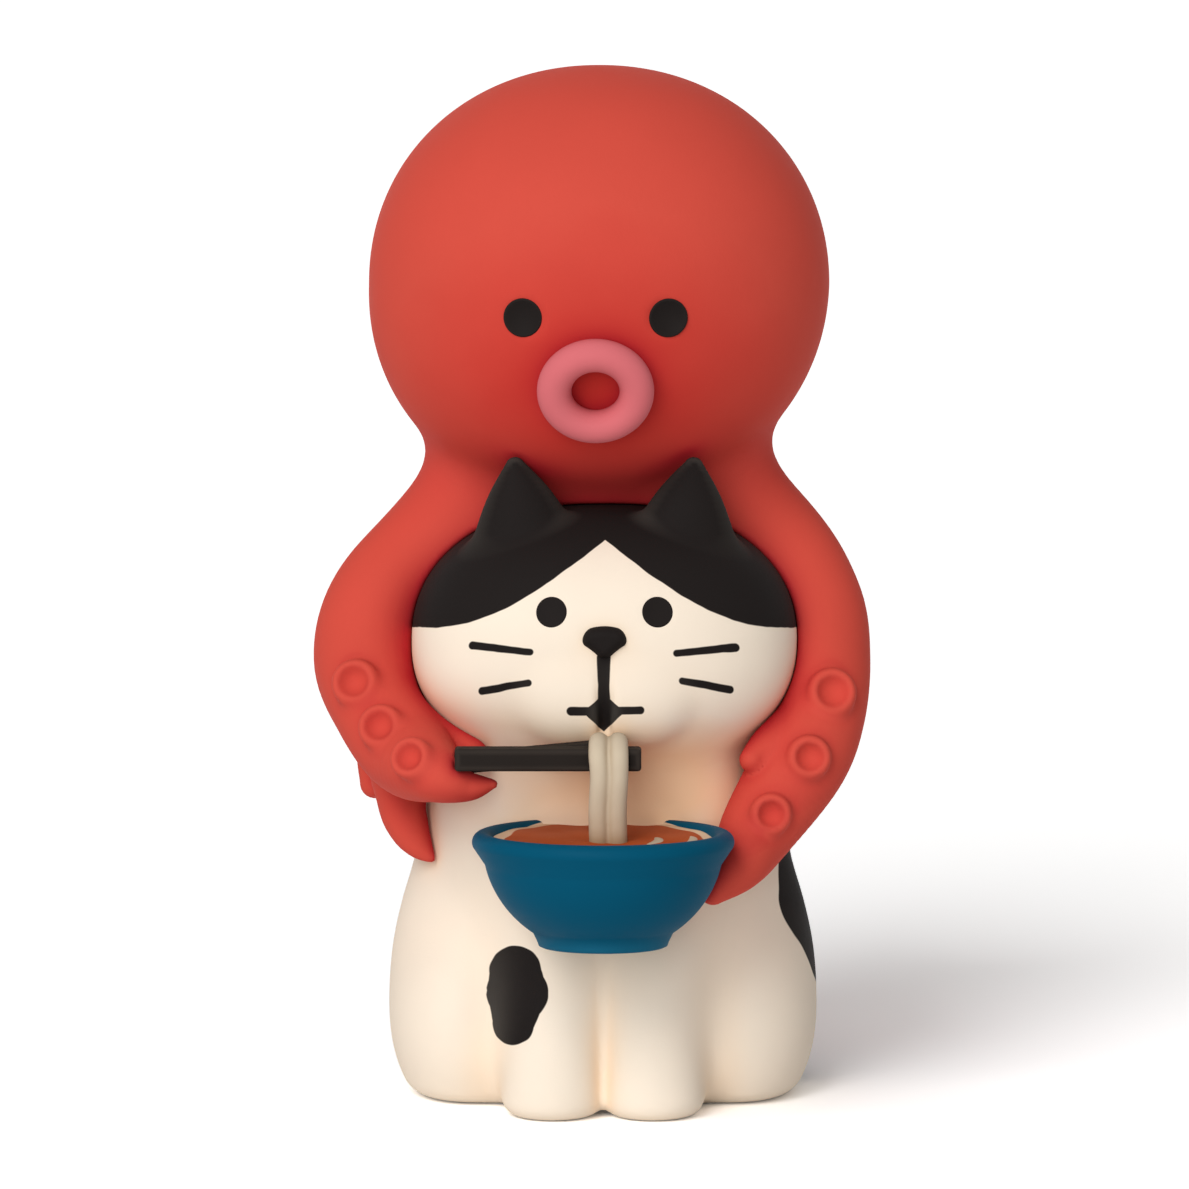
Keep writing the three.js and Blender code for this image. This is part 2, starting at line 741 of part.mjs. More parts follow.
const chopstickArmStations = [
  station(-1, armRootAt, armRootRadius),
  station(-1, armNeckAt, armRootRadius),
  station(-1, chopstickArmShoulderAt, armShoulderRadius),
  station(-1, chopstickArmSideAt, armShoulderRadius),
  station(-1, chopstickArmCrookAt, armCrookRadius),
  station(-1, chopstickArmForearmAt, armCrookRadius),
  besideStick(-stickWristOut, stickWristDrop, stickWristRadius),
  besideStick(stickTipIn, stickTipDrop, armTipRadius),
];

// The place beside the bowl wall at a drop under the rim, turned back from straight sideways.
function besideBowl(drop, angle, off) {
  const share = drop / (bowlHeight - bowlUnderside);
  const radius = wallRadius * Math.sqrt(1 - share * share) + off;
  return at(radius * Math.cos(angle), bowlCentre.y + radius * Math.sin(angle), rimHeight - drop);
}

const bowlArmStations = [
  station(1, armRootAt, armRootRadius),
  station(1, armNeckAt, armRootRadius),
  station(1, bowlArmShoulderAt, armShoulderRadius),
  station(1, bowlArmSideAt, armShoulderRadius),
  station(1, bowlArmCrookAt, armCrookRadius),
  station(1, bowlArmForearmAt, armCrookRadius),
  { place: besideBowl(bowlWristDrop, bowlWristTurn, bowlWristOff), thick: armWristRadius },
  { place: besideBowl(bowlPalmDrop, bowlPalmTurn, bowlPalmOff), thick: bowlPalmRadius },
  { place: besideBowl(bowlTipDrop, bowlTipTurn, armTipRadius), thick: armTipRadius },
];

// A sucker is a low ring with a dimple, on the skin of a front arm.
function sucker(side, stations, { share, turn, size }) {
  const curve = new THREE.CatmullRomCurve3(stations.map((s) => s.place), false, "catmullrom", 0.5);
  const girths = new THREE.CatmullRomCurve3(stations.map((s) => at(s.thick, 0, 0)), false, "catmullrom", 0.5);
  const along = curve.getTangent(share);
  const out = armOut(curve.getPoint(share));
  out.addScaledVector(along, -out.dot(along)).normalize().applyAxisAngle(along, side * turn);
  const place = curve.getPoint(share).addScaledVector(out, girths.getPoint(share).x);
  const radius = suckerRadius * size;
  const profile = [
    flat(0, -suckerSeat),
    flat(radius, -suckerSeat),
    flat(radius, suckerRise * 0.4),
    flat(radius * 0.82, suckerRise),
    flat(suckerDimple * size, suckerRise * 0.8),
    flat(0, suckerRise * 0.1),
  ];
  return turned(profile, { place, facing: out }, limbSides);
}

const armForm = (stations, steps, grow) => limb({ stations, outward: armOut, steps, grow });
const withSuckers = (form, side, stations, suckers) =>
  join(form, ...suckers.map((place) => sucker(side, stations, place)));

function chopstickArmForm(grow = 0) {
  const form = armForm(chopstickArmStations, chopstickArmSteps, grow);
  return withSuckers(form, -1, chopstickArmStations, chopstickArmSuckers);
}

function bowlArmForm(grow = 0) {
  const form = armForm(bowlArmStations, bowlArmSteps, grow);
  return withSuckers(form, 1, bowlArmStations, bowlArmSuckers);
}

const catAndHood = [headForm(glueGap), bodyForm(glueGap), mantleForm(glueGap)];
const held = [frontStick(glueGap), rearStick(glueGap), bowlForm(glueGap)];
const chopstickArm = cut(chopstickArmForm(), ...catAndHood, ...held);
const bowlArm = cut(bowlArmForm(), ...catAndHood, ...held);

function neckArmForm(side, grow = 0) {
  const stations = [
    station(side, neckArmRootAt, neckArmRadius),
    station(side, neckArmBendAt, neckArmRadius),
    station(side, neckArmTipAt, neckArmTipRadius),
  ];
  return armForm(stations, neckArmSteps, grow);
}

function sideArmForm(side, grow = 0) {
  const stations = [
    station(side, sideArmRootAt, sideArmRadius),
    station(side, sideArmBendAt, sideArmRadius),
    station(side, sideArmWristAt, sideArmTipRadius),
    station(side, sideArmTipAt, sideArmTipRadius),
  ];
  return armForm(stations, sideArmSteps, grow);
}

function rearArmForm(side, grow = 0) {
  const stations = [
    station(side, rearArmRootAt, rearArmRadius),
    station(side, rearArmBendAt, rearArmRadius),
    station(side, rearArmWristAt, rearArmWristRadius),
    station(side, rearArmTipAt, rearArmTipRadius),
  ];
  return armForm(stations, rearArmSteps, grow);
}

const frontArms = [chopstickArmForm(glueGap), bowlArmForm(glueGap)];
const neckArm = (side) => cut(neckArmForm(side), ...catAndHood, ...frontArms, ...held);
const sideArm = (side) => cut(sideArmForm(side), ...catAndHood, ...frontArms, neckArmForm(side, glueGap));
const rearArm = (side) => cut(rearArmForm(side), ...catAndHood, ...frontArms, sideArmForm(side, glueGap));

// Colours and finishes.
const cream = { color: "#f4e3cf", roughness: 0.75 };
const black = { color: "#2a2525", roughness: 0.6 };
const red = { color: "#cf4436", roughness: 0.7 };
const pink = { color: "#d9757c", roughness: 0.7 };
const blue = { color: "#05557a", roughness: 0.55 };
const soup = { color: "#9c4320", roughness: 0.6 };
const pasta = { color: "#e0cfb4", roughness: 0.7 };
const birch = { color: "#c9a878", roughness: 0.8 };

const castings = [
  ["cat_body", catBody, cream],
  ["cat_head", catHead, cream],
  ["cat_nose", nose(), black],
  ["cat_eye_left", eye(catEyeRadius, catEyeSpot(-1)), black],
  ["cat_eye_right", eye(catEyeRadius, catEyeSpot(1)), black],
  ["cat_tail", catTail, black],
  ["octopus_mantle", octopusMantle, red],
  ["octopus_mouth", mouthRing(), pink],
  ["octopus_eye_left", eye(octopusEyeRadius, octopusEyeSpot(-1)), black],
  ["octopus_eye_right", eye(octopusEyeRadius, octopusEyeSpot(1)), black],
  ["chopstick_arm", chopstickArm, red],
  ["bowl_arm", bowlArm, red],
  ["neck_arm_left", neckArm(-1), red],
  ["neck_arm_right", neckArm(1), red],
  ["side_arm_left", sideArm(-1), red],
  ["side_arm_right", sideArm(1), red],
  ["rear_arm_left", rearArm(-1), red],
  ["rear_arm_right", rearArm(1), red],
  ["bowl", bowl, blue],
  ["broth", broth, soup],
  ["noodle_nest", noodleNest, pasta],
  ["noodle_lift", noodleLift, pasta],
  ["chopstick_front", frontStick(), black],
  ["chopstick_rear", rearStick(), black],
  ["neck_dowel", neckPin(), birch],
  ["mantle_dowel", crownPin(), birch],
];

const figurine = new THREE.Group();
figurine.name = "cat_and_octopus_figurine";
for (const [name, solid, finish] of castings) {
  const material = new THREE.MeshStandardMaterial({ ...finish, metalness: 0 });
  const mesh = new THREE.Mesh(toGeometry(solid), material);
  mesh.name = name;
  figurine.add(mesh);
}

export default figurine;
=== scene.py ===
"""Dresses the cat and octopus figurine: sculpted castings, hand paint, a plain studio and a camera.

Sizes are millimetres in the part's own frame, with +Z up and the figure facing -Y.
"""

import logging
import math
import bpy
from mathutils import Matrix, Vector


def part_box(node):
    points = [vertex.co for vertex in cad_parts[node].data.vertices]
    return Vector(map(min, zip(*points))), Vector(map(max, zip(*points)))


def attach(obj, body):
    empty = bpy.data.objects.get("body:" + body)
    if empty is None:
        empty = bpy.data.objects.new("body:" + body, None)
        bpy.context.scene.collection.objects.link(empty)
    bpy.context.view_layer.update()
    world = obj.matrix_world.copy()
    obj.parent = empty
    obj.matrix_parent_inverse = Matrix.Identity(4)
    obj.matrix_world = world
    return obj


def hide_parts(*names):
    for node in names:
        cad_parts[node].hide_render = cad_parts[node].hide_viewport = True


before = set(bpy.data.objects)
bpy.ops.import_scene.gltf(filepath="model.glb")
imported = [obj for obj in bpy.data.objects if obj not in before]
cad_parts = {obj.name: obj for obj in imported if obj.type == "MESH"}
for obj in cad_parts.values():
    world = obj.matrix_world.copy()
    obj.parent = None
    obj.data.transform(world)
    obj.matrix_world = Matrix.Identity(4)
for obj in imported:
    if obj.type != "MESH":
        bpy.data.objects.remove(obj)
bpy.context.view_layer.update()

from concurrent.futures import ThreadPoolExecutor
from dataclasses import dataclass, field
from enum import Enum
from functools import cached_property
from typing import Callable, Sequence

import bpy
import numpy as np
from mathutils import Vector

LOG = logging.getLogger("figurine")
MM = 0.001
BODY = "root"
LOT = 12_000
THREADS = 4
SINK = 0.04
TILT = math.radians(8.0)

Field = Callable[[np.ndarray], np.ndarray]
Triple = tuple[float, float, float]
Pair = tuple[float, float]
Box = tuple[Triple, Triple]
Quadruple = tuple[float, float, float, float]
Colour = tuple[int, int, int]
Socket = bpy.types.NodeSocket


class Side(Enum):
    """The two sides of the figure, as the viewer sees them."""

    LEFT = -1
    RIGHT = 1


def span(node: str) -> tuple[np.ndarray, np.ndarray]:
    """Corners of a node's solid in the frame, in millimetres."""
    low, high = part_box(node)
    return np.array(low) / MM, np.array(high) / MM


# Forms


def blend(a: np.ndarray, b: np.ndarray, reach: float) -> np.ndarray:
    """Joins two forms with a fillet.

    Args:
        a: Distances to the first form.
        b: Distances to the second form.
        reach: How near the forms come before the fillet starts.

    Returns:
        Distances to the joined form.
    """
    near = np.clip(reach - np.abs(a - b), 0.0, None) / reach
    return np.minimum(a, b) - near * near * reach / 4


def meet(a: np.ndarray, b: np.ndarray, reach: float) -> np.ndarray:
    """Keeps what two forms share, with a rounded edge.

    Args:
        a: Distances to the first form.
        b: Distances to the second form.
        reach: How far the rounding spreads from the edge.

    Returns:
        Distances to the shared form.
    """
    return -blend(-a, -b, reach)


def carve(a: np.ndarray, b: np.ndarray, reach: float) -> np.ndarray:
    """Takes the second form out of the first, with a rounded edge.

    Args:
        a: Distances to the form that is cut.
        b: Distances to the cutter.
        reach: How far the rounding spreads from the edge.

    Returns:
        Distances to what is left.
    """
    return meet(a, -b, reach)


def share_out(parts: np.ndarray, index: int, whole: np.ndarray, lap: float) -> np.ndarray:
    """Takes one part's share of a joined form, which runs a little way under its neighbours.

    Args:
        parts: Distances to each part, one row each.
        index: The part's row.
        whole: Distances to the joined form.
        lap: How far the share runs under its neighbours.

    Returns:
        Distances to the share.
    """
    beyond = parts[index] - np.delete(parts, index, axis=0).min(axis=0)
    share = np.clip(beyond / lap, 0, 1)
    return np.maximum(whole + SINK * share * share * (3 - 2 * share), beyond - lap)


def spline(knots: np.ndarray, shares: np.ndarray) -> np.ndarray:
    """Follows a smooth curve through knots.

    Args:
        knots: One row per knot, of any number of columns.
        shares: Places along the curve, from 0 to 1.

    Returns:
        One row per share.
    """
    ends = 2 * knots[0] - knots[1], 2 * knots[-1] - knots[-2]
    padded = np.vstack([ends[0], knots, ends[1]])
    spans = len(knots) - 1
    place = np.clip(shares * spans, 0, spans - 1e-9)
    index = place.astype(int)
    t = (place - index)[:, None]
    before, start, stop, after = (padded[index + i] for i in range(4))
    leave = (stop - before) / 2
    arrive = (after - start) / 2
    cubic = 2 * start - 2 * stop + leave + arrive
    square = -3 * start + 3 * stop - 2 * leave - arrive
    return ((cubic * t + square) * t + leave) * t + start


def unit(rows: np.ndarray) -> np.ndarray:
    """Scales each row to length one."""
    return rows / np.maximum(np.linalg.norm(rows, axis=-1, keepdims=True), 1e-9)


@dataclass(frozen=True)
class Ball:
    """A round form with its own height over and under the centre.

    A power over 2 squares it off, and a lean moves its lower half to the viewer's left.
    """

    centre: Triple
    half_width: float
    half_depth: float
    above: float
    below: float
    power: float = 2.0
    lean: float = 0.0

    def distance(self, points: np.ndarray) -> np.ndarray:
        """Measures to the skin.

        Args:
            points: Where to measure from.

        Returns:
            Distances, under zero inside.
        """
        offset = points - np.array(self.centre)
        offset[:, 0] += self.lean * np.maximum(-offset[:, 2], 0)
        high = np.where(offset[:, 2] > 0, self.above, self.below)
        wide = np.full_like(high, self.half_width)
        deep = np.full_like(high, self.half_depth)
        radii = np.stack([wide, deep, high], axis=1)
        share = np.abs(offset) / radii
        total = (share**self.power).sum(axis=1) + 1e-9
        slope = total[:, None] ** (1 / self.power - 1) * share ** (self.power - 1) / radii
        return (total ** (1 / self.power) - 1) / (np.linalg.norm(slope, axis=1) + 1e-6)

    def front(self, x: float, z: float) -> tuple[np.ndarray, np.ndarray]:
        """Finds the front of the form.

        Args:
            x: Place across the form.
            z: Height.

        Returns:
            The place on the skin, and the way that it faces.
        """
        high = self.above if z > self.centre[2] else self.below
        shift = self.lean * max(self.centre[2] - z, 0)
        across = (x - self.centre[0] + shift) / self.half_width
        rise = (z - self.centre[2]) / high
        inward = (1 - abs(across) ** self.power - abs(rise) ** self.power) ** (1 / self.power)
        place = np.array([x, self.centre[1] - inward * self.half_depth, z])
        slope = [
            math.copysign(abs(share) ** (self.power - 1), share) / size
            for share, size in ((across, self.half_width), (-inward, self.half_depth), (rise, high))
        ]
        return place, unit(np.array(slope))


@dataclass(frozen=True)
class Stack:
    """An upright form through levels of height, half-width, front and back."""

    levels: tuple[Quadruple, ...]
    side: float = 0.0
    steps: int = 160
    end_round: float = 1.0

    def distance(self, points: np.ndarray) -> np.ndarray:
        """Measures to the skin.

        Args:
            points: Where to measure from.

        Returns:
            Distances, under zero inside.
        """
        curve = spline(np.array(self.levels), np.linspace(0, 1, self.steps))
        height = points[:, 2]
        width, front, back = (np.interp(height, curve[:, 0], curve[:, i]) for i in (1, 2, 3))
        depth = (front + back) / 2
        across = (points[:, 0] - self.side) / width
        along = (points[:, 1] - (back - front) / 2) / depth
        level = np.hypot(across, along)
        slope = np.hypot(across / width, along / depth) / np.maximum(level, 1e-6)
        wall = (level - 1) / np.maximum(slope, 1e-6)
        ends = np.maximum(curve[0, 0] - height, height - curve[-1, 0])
        return meet(wall, ends, self.end_round)


@dataclass(frozen=True)
class Limb:
    """A round limb through stations of place and radius.

    A flat under 1 squashes it front to back about its plane.
    """

    stations: tuple[Quadruple, ...]
    steps: int = 40
    flat: float = 1.0
    plane: float = 0.0
    cull: float = 7.0
    coarse: int = 8
    fine: float = 3.2
    stand_off: float = 0.5

    def trace(self) -> np.ndarray:
        """Points and radii along the limb."""
        return spline(np.array(self.stations), np.linspace(0, 1, self.steps + 1))

    def box(self, margin: float) -> tuple[np.ndarray, np.ndarray]:
        """Finds the limb's box.

        Args:
            margin: How far it stands off the limb.

        Returns:
            Its lowest and its highest corner.
        """
        trace = self.trace()
        reach = trace[:, 3:] + margin
        return (trace[:, :3] - reach).min(axis=0), (trace[:, :3] + reach).max(axis=0)

    def distance(self, points: np.ndarray) -> np.ndarray:
        """Measures to the skin.

        Args:
            points: Where to measure from.

        Returns:
            Distances, under zero inside, and rough ones far away.
        """
        points = points.copy()
        points[:, 1] = (points[:, 1] - self.plane) / self.flat + self.plane
        low, high = self.box(0.0)
        away = np.linalg.norm(np.maximum(0, np.maximum(low - points, points - high)), axis=1)
        gaps = away + self.stand_off
        near = np.flatnonzero(away < self.cull)
        trace = self.trace()
        if len(trace) > 2 * self.coarse:
            rough = np.unique(np.append(np.arange(0, len(trace), self.coarse), len(trace) - 1))
            gaps[near] = self.chain(points[near], trace[rough])
            near = near[gaps[near] < self.fine]
        gaps[near] = self.chain(points[near], trace)
        return gaps * math.sqrt(self.flat)

    @staticmethod
    def chain(points: np.ndarray, trace: np.ndarray) -> np.ndarray:
        """Measures to a chain of straight tapered lengths.

        Args:
            points: Where to measure from.
            trace: Places and radii along the chain.

        Returns:
            Distances, under zero inside.
        """
        best = np.full(len(points), np.inf)
        for start, stop in zip(trace[:-1], trace[1:]):
            along = stop[:3] - start[:3]
            offset = points - start[:3]
            share = np.clip(offset @ along / max(along @ along, 1e-9), 0, 1)
            offset -= share[:, None] * along
            line = np.sqrt(np.einsum("ij,ij->i", offset, offset))
            np.minimum(best, line - start[3] - (stop[3] - start[3]) * share, out=best)
        return best


@dataclass(frozen=True)
class Bar:
    """A straight square bar with rounded edges, along X, with its right end lifted."""

    centre: Triple
    half: Triple
    edge: float
    lift: float = 0.0

    def distance(self, points: np.ndarray) -> np.ndarray:
        """Measures to the skin.

        Args:
            points: Where to measure from.

        Returns:
            Distances, under zero inside.
        """
        offset = points - np.array(self.centre)
        offset[:, 2] -= self.lift * (offset[:, 0] / self.half[0] + 1) / 2
        over = np.abs(offset) - (np.array(self.half) - self.edge)
        outside = np.linalg.norm(np.maximum(over, 0), axis=1)
        return outside + np.minimum(over.max(axis=1), 0) - self.edge


@dataclass(frozen=True)
class Ring:
    """A ring with a round section on a spot that faces some way.

    A squash under 1 makes it lower than it is wide.
    """

    place: np.ndarray
    facing: np.ndarray
    radius: float
    thick: float
    lift: float
    squash: float = 1.0

    def reach(self, points: np.ndarray) -> tuple[np.ndarray, np.ndarray]:
        """Measures to the ring's axis.

        Args:
            points: Where to measure from.

        Returns:
            Distances from the axis, and heights along it.
        """
        offset = points - self.place
        height = offset @ self.facing
        aside = offset - height[:, None] * self.facing
        aside[:, 2] /= self.squash
        return np.linalg.norm(aside, axis=1), height

    def distance(self, points: np.ndarray) -> np.ndarray:
        """Distances of points to the skin, under zero inside."""
        out, height = self.reach(points)
        return np.hypot(out - self.radius, height - self.lift) - self.thick


@dataclass(frozen=True)
class Dimple:
    """A shallow round hollow in a spot that faces some way."""

    place: np.ndarray
    facing: np.ndarray
    radius: float
    depth: float

    def distance(self, points: np.ndarray) -> np.ndarray:
        """Measures to the ball that presses the hollow.

        Args:
            points: Where to measure from.

        Returns:
            Distances, under zero inside.
        """
        size = (self.radius**2 + self.depth**2) / (2 * self.depth)
        centre = self.place + self.facing * (size - self.depth)
        return np.linalg.norm(points - centre, axis=1) - size


# Meshes


def measure(form: Field, points: np.ndarray) -> np.ndarray:
    """Reads a field at many points, some at a time and side by side.

    Args:
        form: The field.
        points: Where to read it.

    Returns:
        One distance for each point.
    """
    lots = [points[i : i + LOT] for i in range(0, len(points), LOT)]
    with ThreadPoolExecutor(THREADS) as pool:
        return np.concatenate(list(pool.map(form, lots)))


@dataclass(frozen=True)
class Sculptor:
    """Turns a distance field into a closed mesh of small quads."""

    step: float = 0.3
    block: int = 4
    safety: float = 1.9
    settles: int = 2
    probe: float = 0.02
    least_rate: float = 0.2

    def settle(self, form: Field, points: np.ndarray) -> np.ndarray:
        """Moves points onto a field's zero level, by half a step at most.

        Args:
            form: The field.
            points: The points.

        Returns:
            The moved points.
        """
        reach = self.step * self.probe
        here = measure(form, points)
        ahead = [measure(form, points + axis * reach) for axis in np.eye(3)]
        slope = np.stack([(there - here) / reach for there in ahead], axis=1)
        rate = np.maximum((slope * slope).sum(axis=1), self.least_rate)
        shift = np.clip(here / rate, -self.step / 2, self.step / 2)
        return points - shift[:, None] * slope

    def sample(self, form: Field, low: np.ndarray, high: np.ndarray) -> np.ndarray:
        """Fills a grid with distances, exact near the skin and of the right sign elsewhere.

        Args:
            form: The field.
            low: Lowest corner.
            high: Highest corner.

        Returns:
            The grid.
        """
        blocks = np.ceil(((high - low) / self.step + 1) / self.block).astype(int)
        middle = (self.block - 1) / 2
        axes = [low[i] + self.step * (np.arange(blocks[i]) * self.block + middle) for i in range(3)]
        centres = np.stack(np.meshgrid(*axes, indexing="ij"), axis=-1).reshape(-1, 3)
        rough = measure(form, centres).reshape(blocks)
        near = np.abs(rough) < self.safety * self.block * self.step * math.sqrt(3) / 2
        cube = np.ones((self.block,) * 3)
        grid = np.kron(rough, cube)
        fine = np.kron(near, cube).astype(bool)
        grid[fine] = measure(form, low + self.step * np.argwhere(fine))
        return grid

    def skin(
        self, form: Field, low: Sequence[float], high: Sequence[float]
    ) -> tuple[np.ndarray, np.ndarray]:
        """Wraps a field's zero level in quads.

        Args:
            form: The field.
            low: Lowest corner of a box that holds the form.
            high: Highest corner.

        Returns:
            Points, and faces of four points each.
        """
        low = np.array(low, float) - 2 * self.step
        high = np.array(high, float) + 2 * self.step
        grid = self.sample(form, low, high)
        inside = grid < 0
        size = np.array(grid.shape) - 1
        offsets = np.array(np.meshgrid([0, 1], [0, 1], [0, 1], indexing="ij")).reshape(3, -1).T
        corners = [inside[tuple(slice(o, o + n) for o, n in zip(shift, size))] for shift in offsets]
        crossed = np.logical_or.reduce(corners) & ~np.logical_and.reduce(corners)
        cells = np.argwhere(crossed)
        index = np.full(crossed.shape, -1)
        index[crossed] = np.arange(len(cells))
        total = np.zeros((len(cells), 3))
        hits = np.zeros((len(cells), 1))
        for a in offsets:
            for b in offsets:
                if (b - a).sum() != 1 or np.abs(b - a).sum() != 1:
                    continue
                start = grid[tuple((cells + a).T)]
                stop = grid[tuple((cells + b).T)]
                cross = ((start < 0) != (stop < 0))[:, None]
                with np.errstate(divide="ignore", invalid="ignore"):
                    share = (start / (start - stop))[:, None]
                total += np.where(cross, cells + a + share * (b - a), 0)
                hits += cross
        points = low + self.step * total / hits
        for _ in range(self.settles):
            points = self.settle(form, points)
        return self.largest(points, self.quads(inside, index))

    @staticmethod
    def quads(inside: np.ndarray, index: np.ndarray) -> np.ndarray:
        """Joins the cells round each crossed grid edge.

        Args:
            inside: Which grid points lie in the form.
            index: The number of each cell's point.

        Returns:
            Faces that wind outward.
        """
        faces = []
        for axis in range(3):
            u = np.eye(3, dtype=int)[(axis + 1) % 3]
            v = np.eye(3, dtype=int)[(axis + 2) % 3]
            lower = np.take(inside, range(inside.shape[axis] - 1), axis)
            upper = np.take(inside, range(1, inside.shape[axis]), axis)
            edges = np.argwhere(lower != upper)
            ring = [index[tuple((edges - s).T)] for s in (u + v, v, 0 * u, u)]
            quad = np.stack(ring, axis=1)
            flip = ~lower[tuple(edges.T)]
            quad[flip] = quad[flip][:, ::-1]
            faces.append(quad)
        return np.concatenate(faces)

    @staticmethod
    def largest(points: np.ndarray, faces: np.ndarray) -> tuple[np.ndarray, np.ndarray]:
        """Keeps the largest of the bodies in a mesh.

        Args:
            points: The mesh's points.
            faces: Its faces.

        Returns:
            The points and faces of that body.
        """
        label = np.arange(len(points))
        while True:
            lowest = label[faces].min(axis=1)
            new = label.copy()
            for corner in range(4):
                np.minimum.at(new, faces[:, corner], lowest)
            new = new[new]
            if (new == label).all():
                break
            label = new
        names, counts = np.unique(label, return_counts=True)
        keep = label == names[counts.argmax()]
        renumber = np.cumsum(keep) - 1
        return points[keep], renumber[faces[keep[faces[:, 0]]]]


@dataclass(frozen=True)
class Steps:
    """How fine each sculpted piece is, as the step of its grid."""

    body: float = 0.34
    head: float = 0.25
    nose: float = 0.1
    tail: float = 0.25
    mantle: float = 0.36
    mouth: float = 0.18
    sucker_arm: float = 0.22
    plain_arm: float = 0.3
    stick: float = 0.13
    strand: float = 0.14
    nest: float = 0.18


STEPS = Steps()


@dataclass(frozen=True)
class Turning:
    """A turned form whose profile of radius and height stands on a spot that faces some way."""

    place: np.ndarray
    facing: np.ndarray
    sides: int = 112

    def mesh(self, profile: np.ndarray) -> tuple[np.ndarray, list[tuple[int, ...]]]:
        """Turns a profile that starts and ends on the axis.

        Args:
            profile: Rows of radius and height.

        Returns:
            Points, and faces that wind outward.
        """
        helper = [0.0, 1.0, 0.0] if abs(self.facing[1]) < 0.9 else [1.0, 0.0, 0.0]
        aside = unit(np.cross(self.facing, helper))
        other = np.cross(self.facing, aside)
        turn = np.linspace(0, 2 * math.pi, self.sides, endpoint=False)
        spokes = np.cos(turn)[:, None] * aside + np.sin(turn)[:, None] * other
        rings = [self.place + radius * spokes + height * self.facing for radius, height in profile[1:-1]]
        tips = [self.place + height * self.facing for height in profile[[0, -1], 1]]
        points = np.vstack([*rings, tips[0], tips[1]])
        faces: list[tuple[int, ...]] = []
        last = (len(rings) - 1) * self.sides
        for i in range(self.sides):
            j = (i + 1) % self.sides
            faces.append((len(points) - 2, j, i))
            faces.append((len(points) - 1, last + i, last + j))
            for row in range(0, last, self.sides):
                faces.append((row + i, row + j, row + self.sides + j, row + self.sides + i))
        return points, faces


@dataclass
class Surroundings:
    """Every form of the figure, for finding its hollows and its edges."""

    fields: dict[str, Field] = field(default_factory=dict)
    probes: tuple[float, ...] = (0.6, 1.2, 2.4, 4.8)
    edge_probe: float = 0.5

    def gap(self, points: np.ndarray, skip: str = "") -> np.ndarray:
        """Distances of points to the nearest form, with one left out."""
        fields = [form for name, form in self.fields.items() if name != skip]
        return measure(lambda lot: np.minimum.reduce([form(lot) for form in fields]), points)

    def hollow(self, points: np.ndarray, normals: np.ndarray, skip: str) -> np.ndarray:
        """Finds how far each point lies in a hollow.

        Args:
            points: Places on a skin.
            normals: The way that each one faces.
            skip: A form that is left out.

        Returns:
            Shares from 0 to 1.
        """
        total = np.zeros(len(points))
        for probe in self.probes:
            total += np.clip(1 - self.gap(points + normals * probe, skip) / probe, 0, 1)
        return total / len(self.probes)

    def edge(self, points: np.ndarray, normals: np.ndarray) -> np.ndarray:
        """How sharply the form turns away at each point, from 0 to 1."""
        depth = self.gap(points - normals * self.edge_probe)
        return np.clip(1 + depth / self.edge_probe, 0, 1)


# Paint


def linear(colour: Colour) -> Quadruple:
    """Turns a colour as it is seen into light.

    Args:
        colour: Red, green and blue, from 0 to 255.

    Returns:
        Red, green and blue light, and a full alpha.
    """
    shares = (c / 255 for c in colour)
    light = [s / 12.92 if s <= 0.04045 else ((s + 0.055) / 1.055) ** 2.4 for s in shares]
    return light[0], light[1], light[2], 1.0


